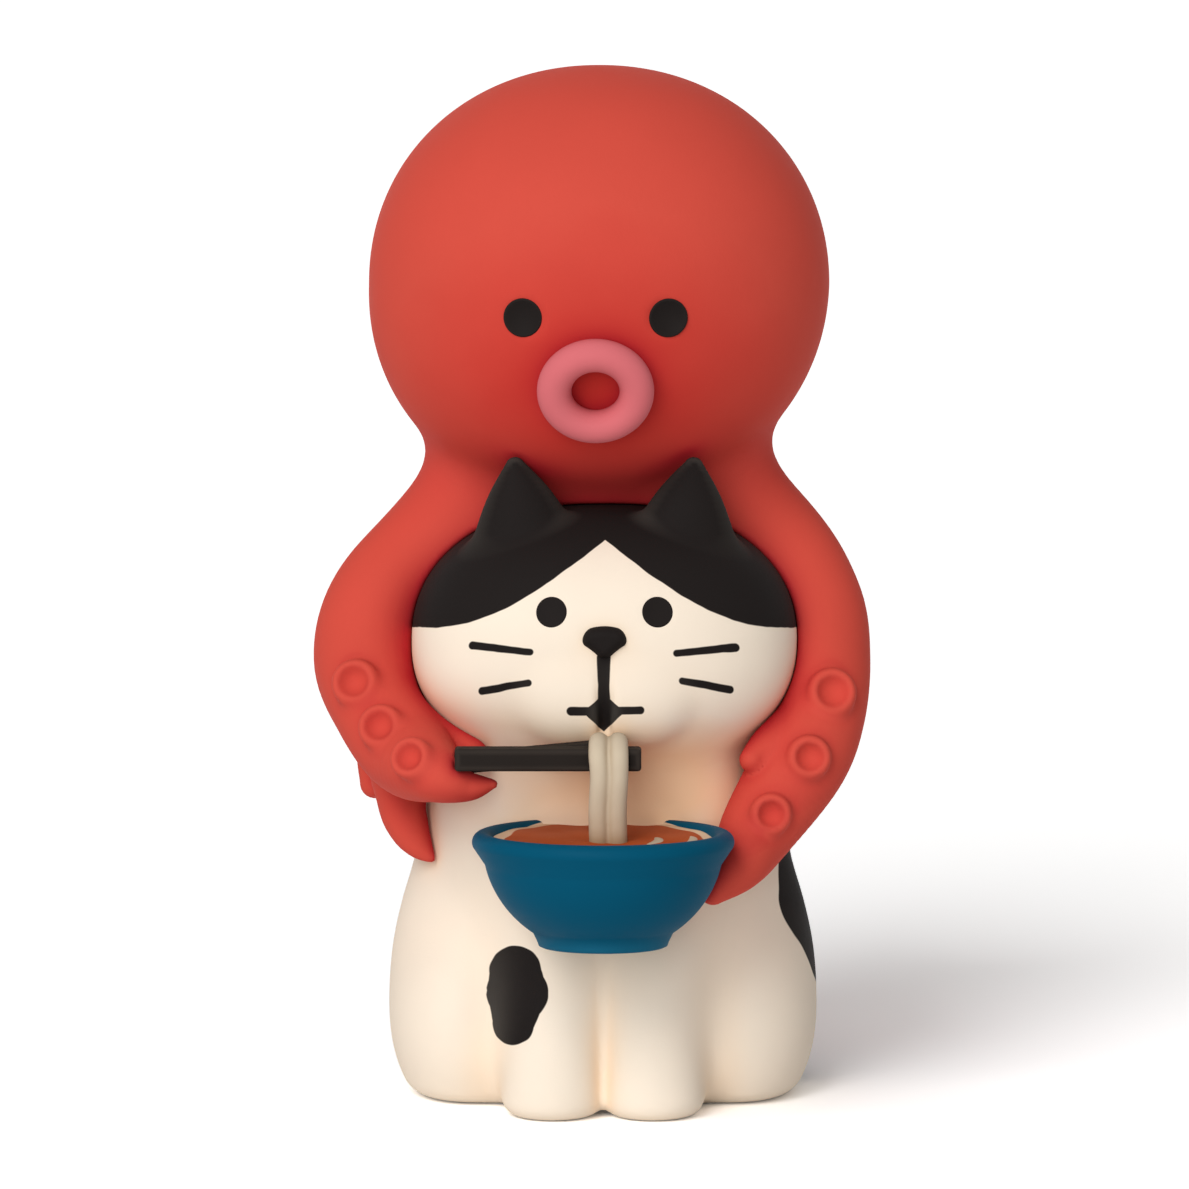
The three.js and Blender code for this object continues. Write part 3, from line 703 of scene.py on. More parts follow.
class Wiring:
    """Adds nodes to one tree and joins them."""

    def __init__(self, tree: bpy.types.NodeTree) -> None:
        """Takes the tree."""
        self.tree = tree

    def add(self, kind: str, **settings: object) -> bpy.types.Node:
        """Adds a node.

        Args:
            kind: The node's type.
            **settings: Properties of the node.

        Returns:
            The node.
        """
        node = self.tree.nodes.new(kind)
        for name, value in settings.items():
            setattr(node, name, value)
        return node

    def put(self, target: Socket, value: object) -> None:
        """Joins a socket to an input, or sets the input to a plain value.

        Args:
            target: The input.
            value: The socket or the plain value.
        """
        if isinstance(value, bpy.types.NodeSocket):
            self.tree.links.new(value, target)
        else:
            target.default_value = value

    def math(self, operation: str, *values: object, clamp: bool = False) -> Socket:
        """Works a sum on values or sockets.

        Args:
            operation: The kind of sum.
            *values: What it works on.
            clamp: Keeps the result from 0 to 1.

        Returns:
            The result.
        """
        node = self.add("ShaderNodeMath", operation=operation, use_clamp=clamp)
        for target, value in zip(node.inputs, values):
            self.put(target, value)
        return node.outputs[0]

    def vector(self, operation: str, *values: object, plain: bool = False) -> Socket:
        """Works a sum on vectors.

        Args:
            operation: The kind of sum.
            *values: What it works on.
            plain: Takes the output that is a number.

        Returns:
            The result.
        """
        node = self.add("ShaderNodeVectorMath", operation=operation)
        for target, value in zip(node.inputs, values):
            self.put(target, value)
        return node.outputs["Value" if plain else "Vector"]

    def mix(self, share: object, a: object, b: object) -> Socket:
        """Mixes two colours.

        Args:
            share: How much of the second shows.
            a: The first colour.
            b: The second colour.

        Returns:
            The mixed colour.
        """
        node = self.add("ShaderNodeMix", data_type="RGBA")
        for index, value in ((0, share), (6, a), (7, b)):
            self.put(node.inputs[index], value)
        return node.outputs[2]

    def noise(self, size: float, place: Socket, detail: float = 2.0, colour: bool = False) -> Socket:
        """Adds cloudy noise.

        Args:
            size: Width of the clouds, in millimetres.
            place: Where to read it, in millimetres.
            detail: How many finer layers it has.
            colour: Gives three noises in place of one.

        Returns:
            The noise, about 0.5.
        """
        node = self.add("ShaderNodeTexNoise")
        self.put(node.inputs["Vector"], place)
        node.inputs["Scale"].default_value = 1 / size
        node.inputs["Detail"].default_value = detail
        return node.outputs[1 if colour else 0]

    def millimetres(self) -> Socket:
        """The place on the object, in millimetres."""
        return self.vector("MULTIPLY", self.add("ShaderNodeTexCoord").outputs["Object"], (1 / MM,) * 3)

    def group(self, tree: bpy.types.NodeTree, **values: object) -> bpy.types.Node:
        """Places a node group.

        Args:
            tree: The group.
            **values: Its inputs by name, with _ for a space.

        Returns:
            The group's node.
        """
        node = self.add("ShaderNodeGroup", node_tree=tree)
        for name, value in values.items():
            self.put(node.inputs[name.replace("_", " ")], value)
        return node


class GroupMaker:
    """Makes one shader node group with named inputs and outputs."""

    KINDS = {float: "NodeSocketFloat", "vector": "NodeSocketVector", "colour": "NodeSocketColor"}

    def __init__(self, name: str, inputs: dict[str, object], outputs: dict[str, object]) -> None:
        """Makes the group's sockets.

        Args:
            name: The group's name.
            inputs: Kind of each input.
            outputs: Kind of each output.
        """
        self.tree = bpy.data.node_groups.new(name, "ShaderNodeTree")
        for label, kind in inputs.items():
            self.tree.interface.new_socket(label, in_out="INPUT", socket_type=self.KINDS[kind])
        for label, kind in outputs.items():
            self.tree.interface.new_socket(label, in_out="OUTPUT", socket_type=self.KINDS[kind])
        self.wiring = Wiring(self.tree)
        self.inputs = self.wiring.add("NodeGroupInput").outputs
        self.outputs = self.wiring.add("NodeGroupOutput").inputs

    def finish(self, **values: Socket) -> bpy.types.NodeTree:
        """Joins the outputs.

        Args:
            **values: What each output gives, by name, with _ for a space.

        Returns:
            The group.
        """
        for name, value in values.items():
            self.wiring.put(self.outputs[name.replace("_", " ")], value)
        return self.tree


class Effects:
    """The paint effects that several finishes share, each a node group made once."""

    EDGE = 0.07
    FINE_SHARE = 0.6
    BRUSHED_SHARE = 0.4
    BRUSHED_STRETCH = (0.25, 0.25, 0.09)
    CLOUD_SIZE = 6.0
    SHAKE_SIZE = 1.6
    RAGGED_SIZE = 3.4
    RAGGED_DETAIL = 0.6
    MIDDLE = 0.5

    def __init__(self, tilt: float) -> None:
        """Makes every group.

        Args:
            tilt: How far the brush looks down on the figure, in radians.
        """
        self.tilt = tilt
        self.grain = self.make_grain()
        self.airbrush = self.make_shade_highlight_and_tone()
        self.hand = self.make_hand()
        self.stroke = self.make_stroke()
        self.parting = self.make_parting()
        self.patch = self.make_patch()
        self.kite = self.make_kite()

    def make_grain(self) -> bpy.types.NodeTree:
        """Fine paint grain: a height for bump, cloudy tone and a roughness that follows them.

        Returns:
            The group.
        """
        made = GroupMaker(
            "paint_grain",
            {"Size": float, "Roughness": float, "Spread": float},
            {"Height": float, "Tone": float, "Roughness": float},
        )
        w = made.wiring
        place = w.millimetres()
        speck = w.vector("DIVIDE", place, made.inputs["Size"])
        fine = w.noise(1.0, speck, 3.0)
        brushed = w.noise(1.0, w.vector("MULTIPLY", speck, self.BRUSHED_STRETCH), 2.0)
        tone = w.noise(self.CLOUD_SIZE, place, 3.0)
        specks = w.math("MULTIPLY", fine, self.FINE_SHARE)
        hairs = w.math("MULTIPLY", brushed, self.BRUSHED_SHARE)
        height = w.math("ADD", specks, hairs)
        swing = w.math("SUBTRACT", w.math("ADD", fine, tone), 1.0)
        rough = w.math("MULTIPLY_ADD", swing, made.inputs["Spread"], made.inputs["Roughness"], clamp=True)
        return made.finish(Height=height, Tone=tone, Roughness=rough)

    def make_shade_highlight_and_tone(self) -> bpy.types.NodeTree:
        """Paints shade into the hollows and a highlight along the edges, and clouds the colour.

        Returns:
            The group.
        """
        made = GroupMaker(
            "airbrush",
            {
                "Colour": "colour",
                "Hollow Colour": "colour",
                "Hollow Share": float,
                "Edge Colour": "colour",
                "Edge Share": float,
                "Tone": float,
                "Cloud": float,
            },
            {"Colour": "colour"},
        )
        w = made.wiring
        hollow = w.add("ShaderNodeAttribute", attribute_name="hollow").outputs["Fac"]
        edge = w.add("ShaderNodeAttribute", attribute_name="edge").outputs["Fac"]
        uneven = w.math("ADD", made.inputs["Tone"], self.MIDDLE)
        # Painted shade: the hollows take the hollow colour, unevenly; on the cream and the red it is partly
        # a real airbrushed tint.
        sprayed = w.math("MULTIPLY", hollow, uneven)
        deep = w.math("MULTIPLY", sprayed, made.inputs["Hollow Share"], clamp=True)
        shaded = w.mix(deep, made.inputs["Colour"], made.inputs["Hollow Colour"])
        # Painted highlight: the edges take the lighter edge colour.
        uneven_edge = w.math("MULTIPLY", edge, uneven)
        edge_highlight = w.math("MULTIPLY", uneven_edge, made.inputs["Edge Share"], clamp=True)
        highlighted = w.mix(edge_highlight, shaded, made.inputs["Edge Colour"])
        lighter = w.math("SUBTRACT", made.inputs["Tone"], self.MIDDLE)
        swing = w.math("MULTIPLY", lighter, made.inputs["Cloud"])
        clouded = w.vector("SCALE", highlighted)
        w.put(clouded.node.inputs["Scale"], w.math("ADD", swing, 1.0))
        return made.finish(Colour=clouded)

    def make_hand(self) -> bpy.types.NodeTree:
        """The plane that the painter sees from the front, with a small wobble of the hand.

        Returns:
            The group, whose plane has depth as Z.
        """
        made = GroupMaker("painter_hand", {"Wobble": float}, {"Plane": "vector"})
        w = made.wiring
        place = w.millimetres()
        parts = w.add("ShaderNodeSeparateXYZ")
        w.put(parts.inputs[0], place)
        high = w.math("MULTIPLY", parts.outputs["Z"], math.cos(self.tilt))
        seen = w.math("MULTIPLY_ADD", parts.outputs["Y"], math.sin(self.tilt), high)
        plane = w.add("ShaderNodeCombineXYZ")
        w.put(plane.inputs["X"], parts.outputs["X"])
        w.put(plane.inputs["Y"], seen)
        w.put(plane.inputs["Z"], parts.outputs["Y"])
        cloud = w.noise(self.SHAKE_SIZE, place, 1.0, colour=True)
        shake = w.vector("SUBTRACT", cloud, (self.MIDDLE,) * 3)
        level = w.vector("MULTIPLY", shake, (1.0, 1.0, 0.0))
        scaled = w.vector("SCALE", level)
        w.put(scaled.node.inputs["Scale"], made.inputs["Wobble"])
        return made.finish(Plane=w.vector("ADD", plane.outputs[0], scaled))

    def make_stroke(self) -> bpy.types.NodeTree:
        """One brush stroke on the front, from a start to an end, with round ends of their own radius.

        Returns:
            The group.
        """
        made = GroupMaker(
            "brush_stroke",
            {"Plane": "vector", "Start": "vector", "End": "vector", "Radius": float, "End Radius": float},
            {"Mask": float},
        )
        w = made.wiring
        level = w.vector("MULTIPLY", made.inputs["Plane"], (1.0, 1.0, 0.0))
        to_point = w.vector("SUBTRACT", level, made.inputs["Start"])
        along = w.vector("SUBTRACT", made.inputs["End"], made.inputs["Start"])
        reach = w.vector("DOT_PRODUCT", to_point, along, plain=True)
        length = w.vector("DOT_PRODUCT", along, along, plain=True)
        share = w.math("DIVIDE", reach, length, clamp=True)
        nearest = w.vector("SCALE", along)
        w.put(nearest.node.inputs["Scale"], share)
        away = w.vector("LENGTH", w.vector("SUBTRACT", to_point, nearest), plain=True)
        change = w.math("SUBTRACT", made.inputs["End Radius"], made.inputs["Radius"])
        radius = w.math("MULTIPLY_ADD", share, change, made.inputs["Radius"])
        mask = self.inside(w, w.math("SUBTRACT", radius, away))
        return made.finish(Mask=w.math("MULTIPLY", mask, self.front(w, made.inputs["Plane"])))

    def make_parting(self) -> bpy.types.NodeTree:
        """Everything over a line that falls in two curves from a peak.

        Returns:
            The group.
        """
        made = GroupMaker(
            "parted_cap",
            {"Plane": "vector", "Peak": "vector", "Half": float, "Drop": float},
            {"Mask": float},
        )
        w = made.wiring
        parts = w.add("ShaderNodeSeparateXYZ")
        w.put(parts.inputs[0], w.vector("SUBTRACT", made.inputs["Plane"], made.inputs["Peak"]))
        out = w.math("DIVIDE", w.math("ABSOLUTE", parts.outputs["X"]), made.inputs["Half"], clamp=True)
        fall = w.math("SINE", w.math("MULTIPLY", out, math.pi / 2))
        over = w.math("MULTIPLY_ADD", fall, made.inputs["Drop"], parts.outputs["Y"])
        return made.finish(Mask=self.inside(w, over))

    def make_patch(self) -> bpy.types.NodeTree:
        """A round patch of paint about a centre in the round, crisp or sprayed.

        Returns:
            The group.
        """
        made = GroupMaker(
            "paint_patch",
            {"Centre": "vector", "Half": "vector", "Wobble": float, "Sharpness": float},
            {"Mask": float},
        )
        w = made.wiring
        place = w.millimetres()
        offset = w.vector("DIVIDE", w.vector("SUBTRACT", place, made.inputs["Centre"]), made.inputs["Half"])
        cloud = w.noise(self.RAGGED_SIZE, place, self.RAGGED_DETAIL)
        uneven = w.math("SUBTRACT", cloud, self.MIDDLE)
        ragged = w.math("MULTIPLY", uneven, made.inputs["Wobble"])
        away = w.math("ADD", w.vector("LENGTH", offset, plain=True), ragged)
        mask = w.math("MULTIPLY", w.math("SUBTRACT", 1.0, away), made.inputs["Sharpness"], clamp=True)
        return made.finish(Mask=mask)

    def make_kite(self) -> bpy.types.NodeTree:
        """A kite on the front, with straight sides under its middle and hollow ones over it.

        Returns:
            The group.
        """
        made = GroupMaker(
            "painted_kite",
            {"Plane": "vector", "Middle": "vector", "Half": float, "Above": float, "Below": float},
            {"Mask": float},
        )
        w = made.wiring
        parts = w.add("ShaderNodeSeparateXYZ")
        w.put(parts.inputs[0], w.vector("SUBTRACT", made.inputs["Plane"], made.inputs["Middle"]))
        rise = w.math("DIVIDE", parts.outputs["Y"], made.inputs["Above"])
        upper = w.math("SUBTRACT", 1.0, rise, clamp=True)
        lower = w.math("ADD", w.math("DIVIDE", parts.outputs["Y"], made.inputs["Below"]), 1.0, clamp=True)
        share = w.math("MINIMUM", w.math("MULTIPLY", upper, upper), lower)
        reach = w.math("MULTIPLY", share, made.inputs["Half"])
        out = w.math("ADD", w.math("ABSOLUTE", parts.outputs["X"]), self.EDGE)
        mask = self.inside(w, w.math("SUBTRACT", reach, out))
        return made.finish(Mask=w.math("MULTIPLY", mask, self.front(w, made.inputs["Plane"])))

    @staticmethod
    def front(w: Wiring, plane: Socket) -> Socket:
        """Masks the front half of the figure.

        Args:
            w: The wiring.
            plane: The plane that the painter sees.

        Returns:
            One in front, and zero behind.
        """
        parts = w.add("ShaderNodeSeparateXYZ")
        w.put(parts.inputs[0], plane)
        return w.math("LESS_THAN", parts.outputs["Z"], 0.0)

    def inside(self, w: Wiring, depth: Socket) -> Socket:
        """A crisp mask that is one where a depth is over zero."""
        return w.math("MULTIPLY_ADD", depth, 1 / self.EDGE, self.MIDDLE, clamp=True)


@dataclass(frozen=True)
class Stroke:
    """A brush stroke on the plane that the painter sees from the front."""

    start: Pair
    end: Pair
    radius: float
    end_radius: float

    def mask(self, w: Wiring, effects: Effects, plane: Socket) -> Socket:
        """Masks the stroke.

        Args:
            w: The material's wiring.
            effects: The shared paint effects.
            plane: The plane that the painter sees.

        Returns:
            One on the paint, and zero beside it.
        """
        node = w.group(
            effects.stroke,
            Plane=plane,
            Start=(*self.start, 0.0),
            End=(*self.end, 0.0),
            Radius=self.radius,
            End_Radius=self.end_radius,
        )
        return node.outputs["Mask"]


@dataclass(frozen=True)
class Parting:
    """A cap of paint over a line that falls in two curves from a peak."""

    peak: Pair
    half: float
    drop: float

    def mask(self, w: Wiring, effects: Effects, plane: Socket) -> Socket:
        """Masks the cap.

        Args:
            w: The material's wiring.
            effects: The shared paint effects.
            plane: The plane that the painter sees.

        Returns:
            One on the paint, and zero beside it.
        """
        node = w.group(effects.parting, Plane=plane, Peak=(*self.peak, 0.0), Half=self.half, Drop=self.drop)
        return node.outputs["Mask"]


@dataclass(frozen=True)
class Kite:
    """A kite of paint on the plane that the painter sees from the front."""

    middle: Pair
    half: float
    above: float
    below: float

    def mask(self, w: Wiring, effects: Effects, plane: Socket) -> Socket:
        """Masks the kite.

        Args:
            w: The material's wiring.
            effects: The shared paint effects.
            plane: The plane that the painter sees.

        Returns:
            One on the paint, and zero beside it.
        """
        node = w.group(
            effects.kite,
            Plane=plane,
            Middle=(*self.middle, 0.0),
            Half=self.half,
            Above=self.above,
            Below=self.below,
        )
        return node.outputs["Mask"]


@dataclass(frozen=True)
class Patch:
    """A round patch of paint about a centre in the round."""

    centre: Triple
    half: Triple
    wobble: float
    sharpness: float = 80.0

    def mask(self, w: Wiring, effects: Effects, plane: Socket | None = None) -> Socket:
        """Masks the patch.

        Args:
            w: The material's wiring.
            effects: The shared paint effects.
            plane: Not needed, since a patch lies in the round.

        Returns:
            One on the paint, and zero beside it.
        """
        node = w.group(
            effects.patch,
            Centre=self.centre,
            Half=self.half,
            Wobble=self.wobble,
            Sharpness=self.sharpness,
        )
        return node.outputs["Mask"]


@dataclass(frozen=True)
class LightAndShadeLayer:
    """Painted light and shade, sprayed softly over a place."""

    patch: Patch
    colour: Colour
    share: float

    def over(self, w: Wiring, effects: Effects, base: object) -> Socket:
        """The colour under it with the painted shading on top."""
        mask = w.math("MULTIPLY", self.patch.mask(w, effects), self.share)
        return w.mix(mask, base, linear(self.colour))


@dataclass(frozen=True)
class Finish:
    """A hand-painted finish, with the colours as they are seen in plain light. Its hollow colour is painted
    shade and its edge colour a painted highlight.
    """

    name: str
    slot: str
    colour: Colour
    # Painted shade in the hollows.
    hollow: Colour
    # Painted highlight along the edges.
    edge: Colour
    hollow_share: float = 0.5
    edge_share: float = 0.1
    roughness: float = 0.62
    spread: float = 0.16
    grain: float = 0.16
    bump: float = 0.012
    gloss: float = 0.03
    cloud: float = 0.08
    light_and_shade_layers: tuple[LightAndShadeLayer, ...] = ()
    marks: tuple[Stroke | Parting | Kite | Patch, ...] = ()
    mark_colour: Colour = (33, 29, 28)
    wobble: float = 0.22

    def material(self, effects: Effects) -> bpy.types.Material:
        """Mixes the finish.

        Args:
            effects: The shared paint effects.

        Returns:
            The material.
        """
        material = bpy.data.materials.new(self.name)
        material.use_nodes = True
        w = Wiring(material.node_tree)
        shader = material.node_tree.nodes["Principled BSDF"]
        grain = w.group(effects.grain, Size=self.grain, Roughness=self.roughness, Spread=self.spread)
        base: object = linear(self.colour)
        # Painted light and shade sprayed over the base colour.
        for shading_layer in self.light_and_shade_layers:
            base = shading_layer.over(w, effects, base)
        coat = self.coat(w, effects, grain, base, self.hollow, self.hollow_share)
        if self.marks:
            plane = w.group(effects.hand, Wobble=self.wobble).outputs["Plane"]
            masks = [mark.mask(w, effects, plane) for mark in self.marks]
            mask = masks[0]
            for other in masks[1:]:
                mask = w.math("MAXIMUM", mask, other)
            marks = self.coat(w, effects, grain, linear(self.mark_colour), self.mark_colour, 0.0)
            coat = w.mix(mask, coat, marks)
        w.put(shader.inputs["Base Color"], coat)
        w.put(shader.inputs["Roughness"], grain.outputs["Roughness"])
        w.put(shader.inputs["Specular IOR Level"], self.gloss)
        relief = w.add("ShaderNodeBump")
        relief.inputs["Distance"].default_value = self.bump * MM
        w.put(relief.inputs["Height"], grain.outputs["Height"])
        w.put(shader.inputs["Normal"], relief.outputs["Normal"])
        return material

    def coat(
        self,
        w: Wiring,
        effects: Effects,
        grain: bpy.types.Node,
        base: object,
        hollow: Colour,
        share: float,
    ) -> Socket:
        """One coat of paint, with painted shade in the hollows and a painted highlight along the edges.

        Args:
            w: The material's wiring.
            effects: The shared paint effects.
            grain: The paint's grain.
            base: The coat's colour, or a socket that gives it.
            hollow: Its painted shade in the hollows.
            share: How strongly the painted shade shows.

        Returns:
            The colour.
        """
        node = w.group(
            effects.airbrush,
            Colour=base,
            Hollow_Colour=linear(hollow),
            Hollow_Share=share,
            Edge_Colour=linear(self.edge),
            Edge_Share=self.edge_share,
            Tone=grain.outputs["Tone"],
            Cloud=self.cloud,
        )
        return node.outputs["Colour"]


# Pieces


@dataclass
class Workshop:
    """Casts pieces, paints them and stands them on the frame."""

    effects: Effects
    around: Surroundings = field(default_factory=Surroundings)
    materials: dict[str, bpy.types.Material] = field(default_factory=dict)

    def paint(self, finish: Finish) -> bpy.types.Material:
        """Mixes a finish, once.

        Args:
            finish: The finish.

        Returns:
            Its material.
        """
        if finish.name not in self.materials:
            self.materials[finish.name] = finish.material(self.effects)
        return self.materials[finish.name]

    def piece(
        self,
        name: str,
        points: np.ndarray,
        faces: Sequence[Sequence[int]],
        finish: Finish,
        nodes: Sequence[str],
        skip: str = "",
    ) -> None:
        """Makes one painted piece that stands for nodes of the frame.

        Args:
            name: The piece's name.
            points: Its points.
            faces: Its faces.
            finish: Its paint.
            nodes: The nodes that it stands for.
            skip: A form that its hollows leave out.
        """
        mesh = bpy.data.meshes.new(name)
        mesh.from_pydata((points * MM).tolist(), [], [tuple(map(int, face)) for face in faces])
        mesh.validate()
        mesh.shade_smooth()
        normals = np.empty(len(mesh.vertices) * 3, np.float32)
        mesh.vertices.foreach_get("normal", normals)
        normals = normals.reshape(-1, 3).astype(float)
        # The hollow and edge shares drive the painted shade and painted highlight of each finish.
        for label, values in (
            ("hollow", self.around.hollow(points, normals, skip)),
            ("edge", self.around.edge(points, normals)),
        ):
            attribute = mesh.attributes.new(label, "FLOAT", "POINT")
            attribute.data.foreach_set("value", values.astype(np.float32))
        mesh.materials.append(self.paint(finish))
        piece = bpy.data.objects.new(name, mesh)
        bpy.context.scene.collection.objects.link(piece)
        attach(piece, BODY)
        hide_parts(*nodes)
        LOG.info("%s: %d faces in %s", name, len(mesh.polygons), finish.name)


# Finishes

# In every finish, the hollow colour is painted shade and the edge colour a painted highlight.
BLACK = Finish(
    "black_paint",
    "black_paint",
    colour=(33, 29, 28),
    # Painted shade in the hollows and a painted highlight on the edges.
    hollow=(20, 17, 16),
    edge=(66, 58, 53),
    hollow_share=0.4,
    edge_share=0.12,
    roughness=0.58,
    cloud=0.3,
)
CREAM = (247, 232, 213)
# Painted shade for the cream's hollows, partly a real tan airbrushed tint.
CREAM_PAINTED_SHADE = (252, 209, 160)
# Painted highlight for the cream's edges.
CREAM_PAINTED_HIGHLIGHT = (252, 240, 224)
# Painted warm bounce light from the red arms and painted shade, on the chest under the chin.
CHEST_BOUNCE_AND_SHADE = LightAndShadeLayer(Patch((3.5, -11.5, 25.6), (13.0, 9.0, 6.4), 0.2, 1.6), (255, 203, 148), 0.66)
CAT_BODY_PAINT = Finish(
    "cat_body_paint",
    "cream_paint",
    colour=CREAM,
    hollow=CREAM_PAINTED_SHADE,
    edge=CREAM_PAINTED_HIGHLIGHT,
    hollow_share=0.5,
    light_and_shade_layers=(CHEST_BOUNCE_AND_SHADE,),
    marks=(
        Stroke((-6.75, 9.5), (-6.6, 7.9), 2.0, 2.38),
        Stroke((-6.6, 7.9), (-6.9, 5.45), 2.38, 1.6),
        Patch((17.0, 5.0, 15.4), (14.0, 9.9, 8.5), 0.14),
        Patch((13.0, 11.0, 11.0), (9.0, 5.5, 6.0), 0.16),
    ),
)
CAT_HEAD_PAINT = Finish(
    "cat_head_paint",
    "cream_paint",
    colour=CREAM,
    hollow=CREAM_PAINTED_SHADE,
    edge=CREAM_PAINTED_HIGHLIGHT,
    hollow_share=0.5,
    light_and_shade_layers=(CHEST_BOUNCE_AND_SHADE,),
    marks=(
        Parting((0.15, 42.65), 13.4, 6.7),
        Stroke((-9.95, 34.6), (-5.55, 34.1), 0.31, 0.26),
        Stroke((-9.25, 31.1), (-5.7, 31.75), 0.3, 0.27),
        Stroke((5.6, 34.0), (10.1, 34.45), 0.27, 0.33),
        Stroke((6.05, 31.9), (9.7, 31.25), 0.27, 0.31),
        Stroke((0.06, 33.7), (0.06, 31.6), 0.52, 0.44),
        Stroke((0.06, 31.6), (0.05, 30.0), 0.44, 0.5),
        Kite((0.05, 29.6), 1.75, 2.1, 1.65),
        Stroke((-2.45, 29.58), (2.85, 29.66), 0.34, 0.31),
    ),
    wobble=0.16,
)
RED = Finish(
    "red_paint",
    "red_paint",
    colour=(210, 79, 65),
    # Painted shade in the hollows, partly a real airbrushed tint, and a painted highlight on the edges.
    hollow=(176, 28, 42),
    edge=(216, 94, 80),
    hollow_share=0.85,
    edge_share=0.3,
    roughness=0.6,
    # Painted shade: a darker red over the lower front of the mantle, round and under the mouth.
    light_and_shade_layers=(LightAndShadeLayer(Patch((-0.3, -13.0, 54.5), (19.0, 17.0, 16.0), 0.15, 1.3), (192, 42, 38), 0.75),),
)
PINK = Finish(
    "pink_paint",
    "pink_paint",
    colour=(214, 111, 116),
    # Painted shade in the hollows and a painted highlight on the edges.
    hollow=(172, 60, 66),
    edge=(228, 136, 138),
    hollow_share=0.7,
    edge_share=0.2,
)
BLUE = Finish(
    "blue_paint",
    "blue_paint",
    colour=(4, 80, 108),
    # Painted shade in the hollows and a painted highlight along the rim's edge.
    hollow=(3, 54, 76),
    edge=(38, 110, 138),
    hollow_share=0.4,
    edge_share=0.4,
    roughness=0.52,
    marks=(
        Patch((0.0, -18.8, 22.0), (8.6, 8.6, 3.2), 0.03),
        Patch((0.0, -12.0, 21.9), (7.6, 5.5, 1.2), 0.03),
    ),
    mark_colour=(232, 204, 172),
)
BROTH = Finish(
    "broth_paint",
    "broth_paint",
    colour=(232, 204, 172),
    # Painted shade in the hollows.
    hollow=(205, 160, 120),
    edge=(232, 204, 172),
    marks=(Patch((0.0, -18.7, 22.3), (7.6, 8.3, 4.0), 0.13),),
    mark_colour=(180, 78, 33),
)
NOODLE = Finish(
    "noodle_paint",
    "noodle_paint",
    colour=(206, 190, 166),
    # Painted shade in the groove between the strands, and a painted highlight on the edges.
    hollow=(160, 134, 100),
    edge=(218, 205, 184),
    hollow_share=0.9,
    edge_share=0.2,
)
STICK = Finish(
    "stick_paint",
    "stick_paint",
    colour=(40, 35, 32),
    # Painted shade in the hollows, and a painted highlight along the edges that is partly wear.
    hollow=(26, 22, 20),
    edge=(92, 82, 74),
    hollow_share=0.4,
    edge_share=0.45,
    roughness=0.55,
    cloud=0.3,
)
BIRCH = Finish(
    "birch_dowel",
    "birch",
    colour=(201, 168, 120),
    # Painted shade in the hollows and a painted highlight on the edges.
    hollow=(150, 112, 70),
    edge=(214, 186, 142),
    grain=0.5,
    bump=0.03,
    cloud=0.3,
)


# Sub-assemblies


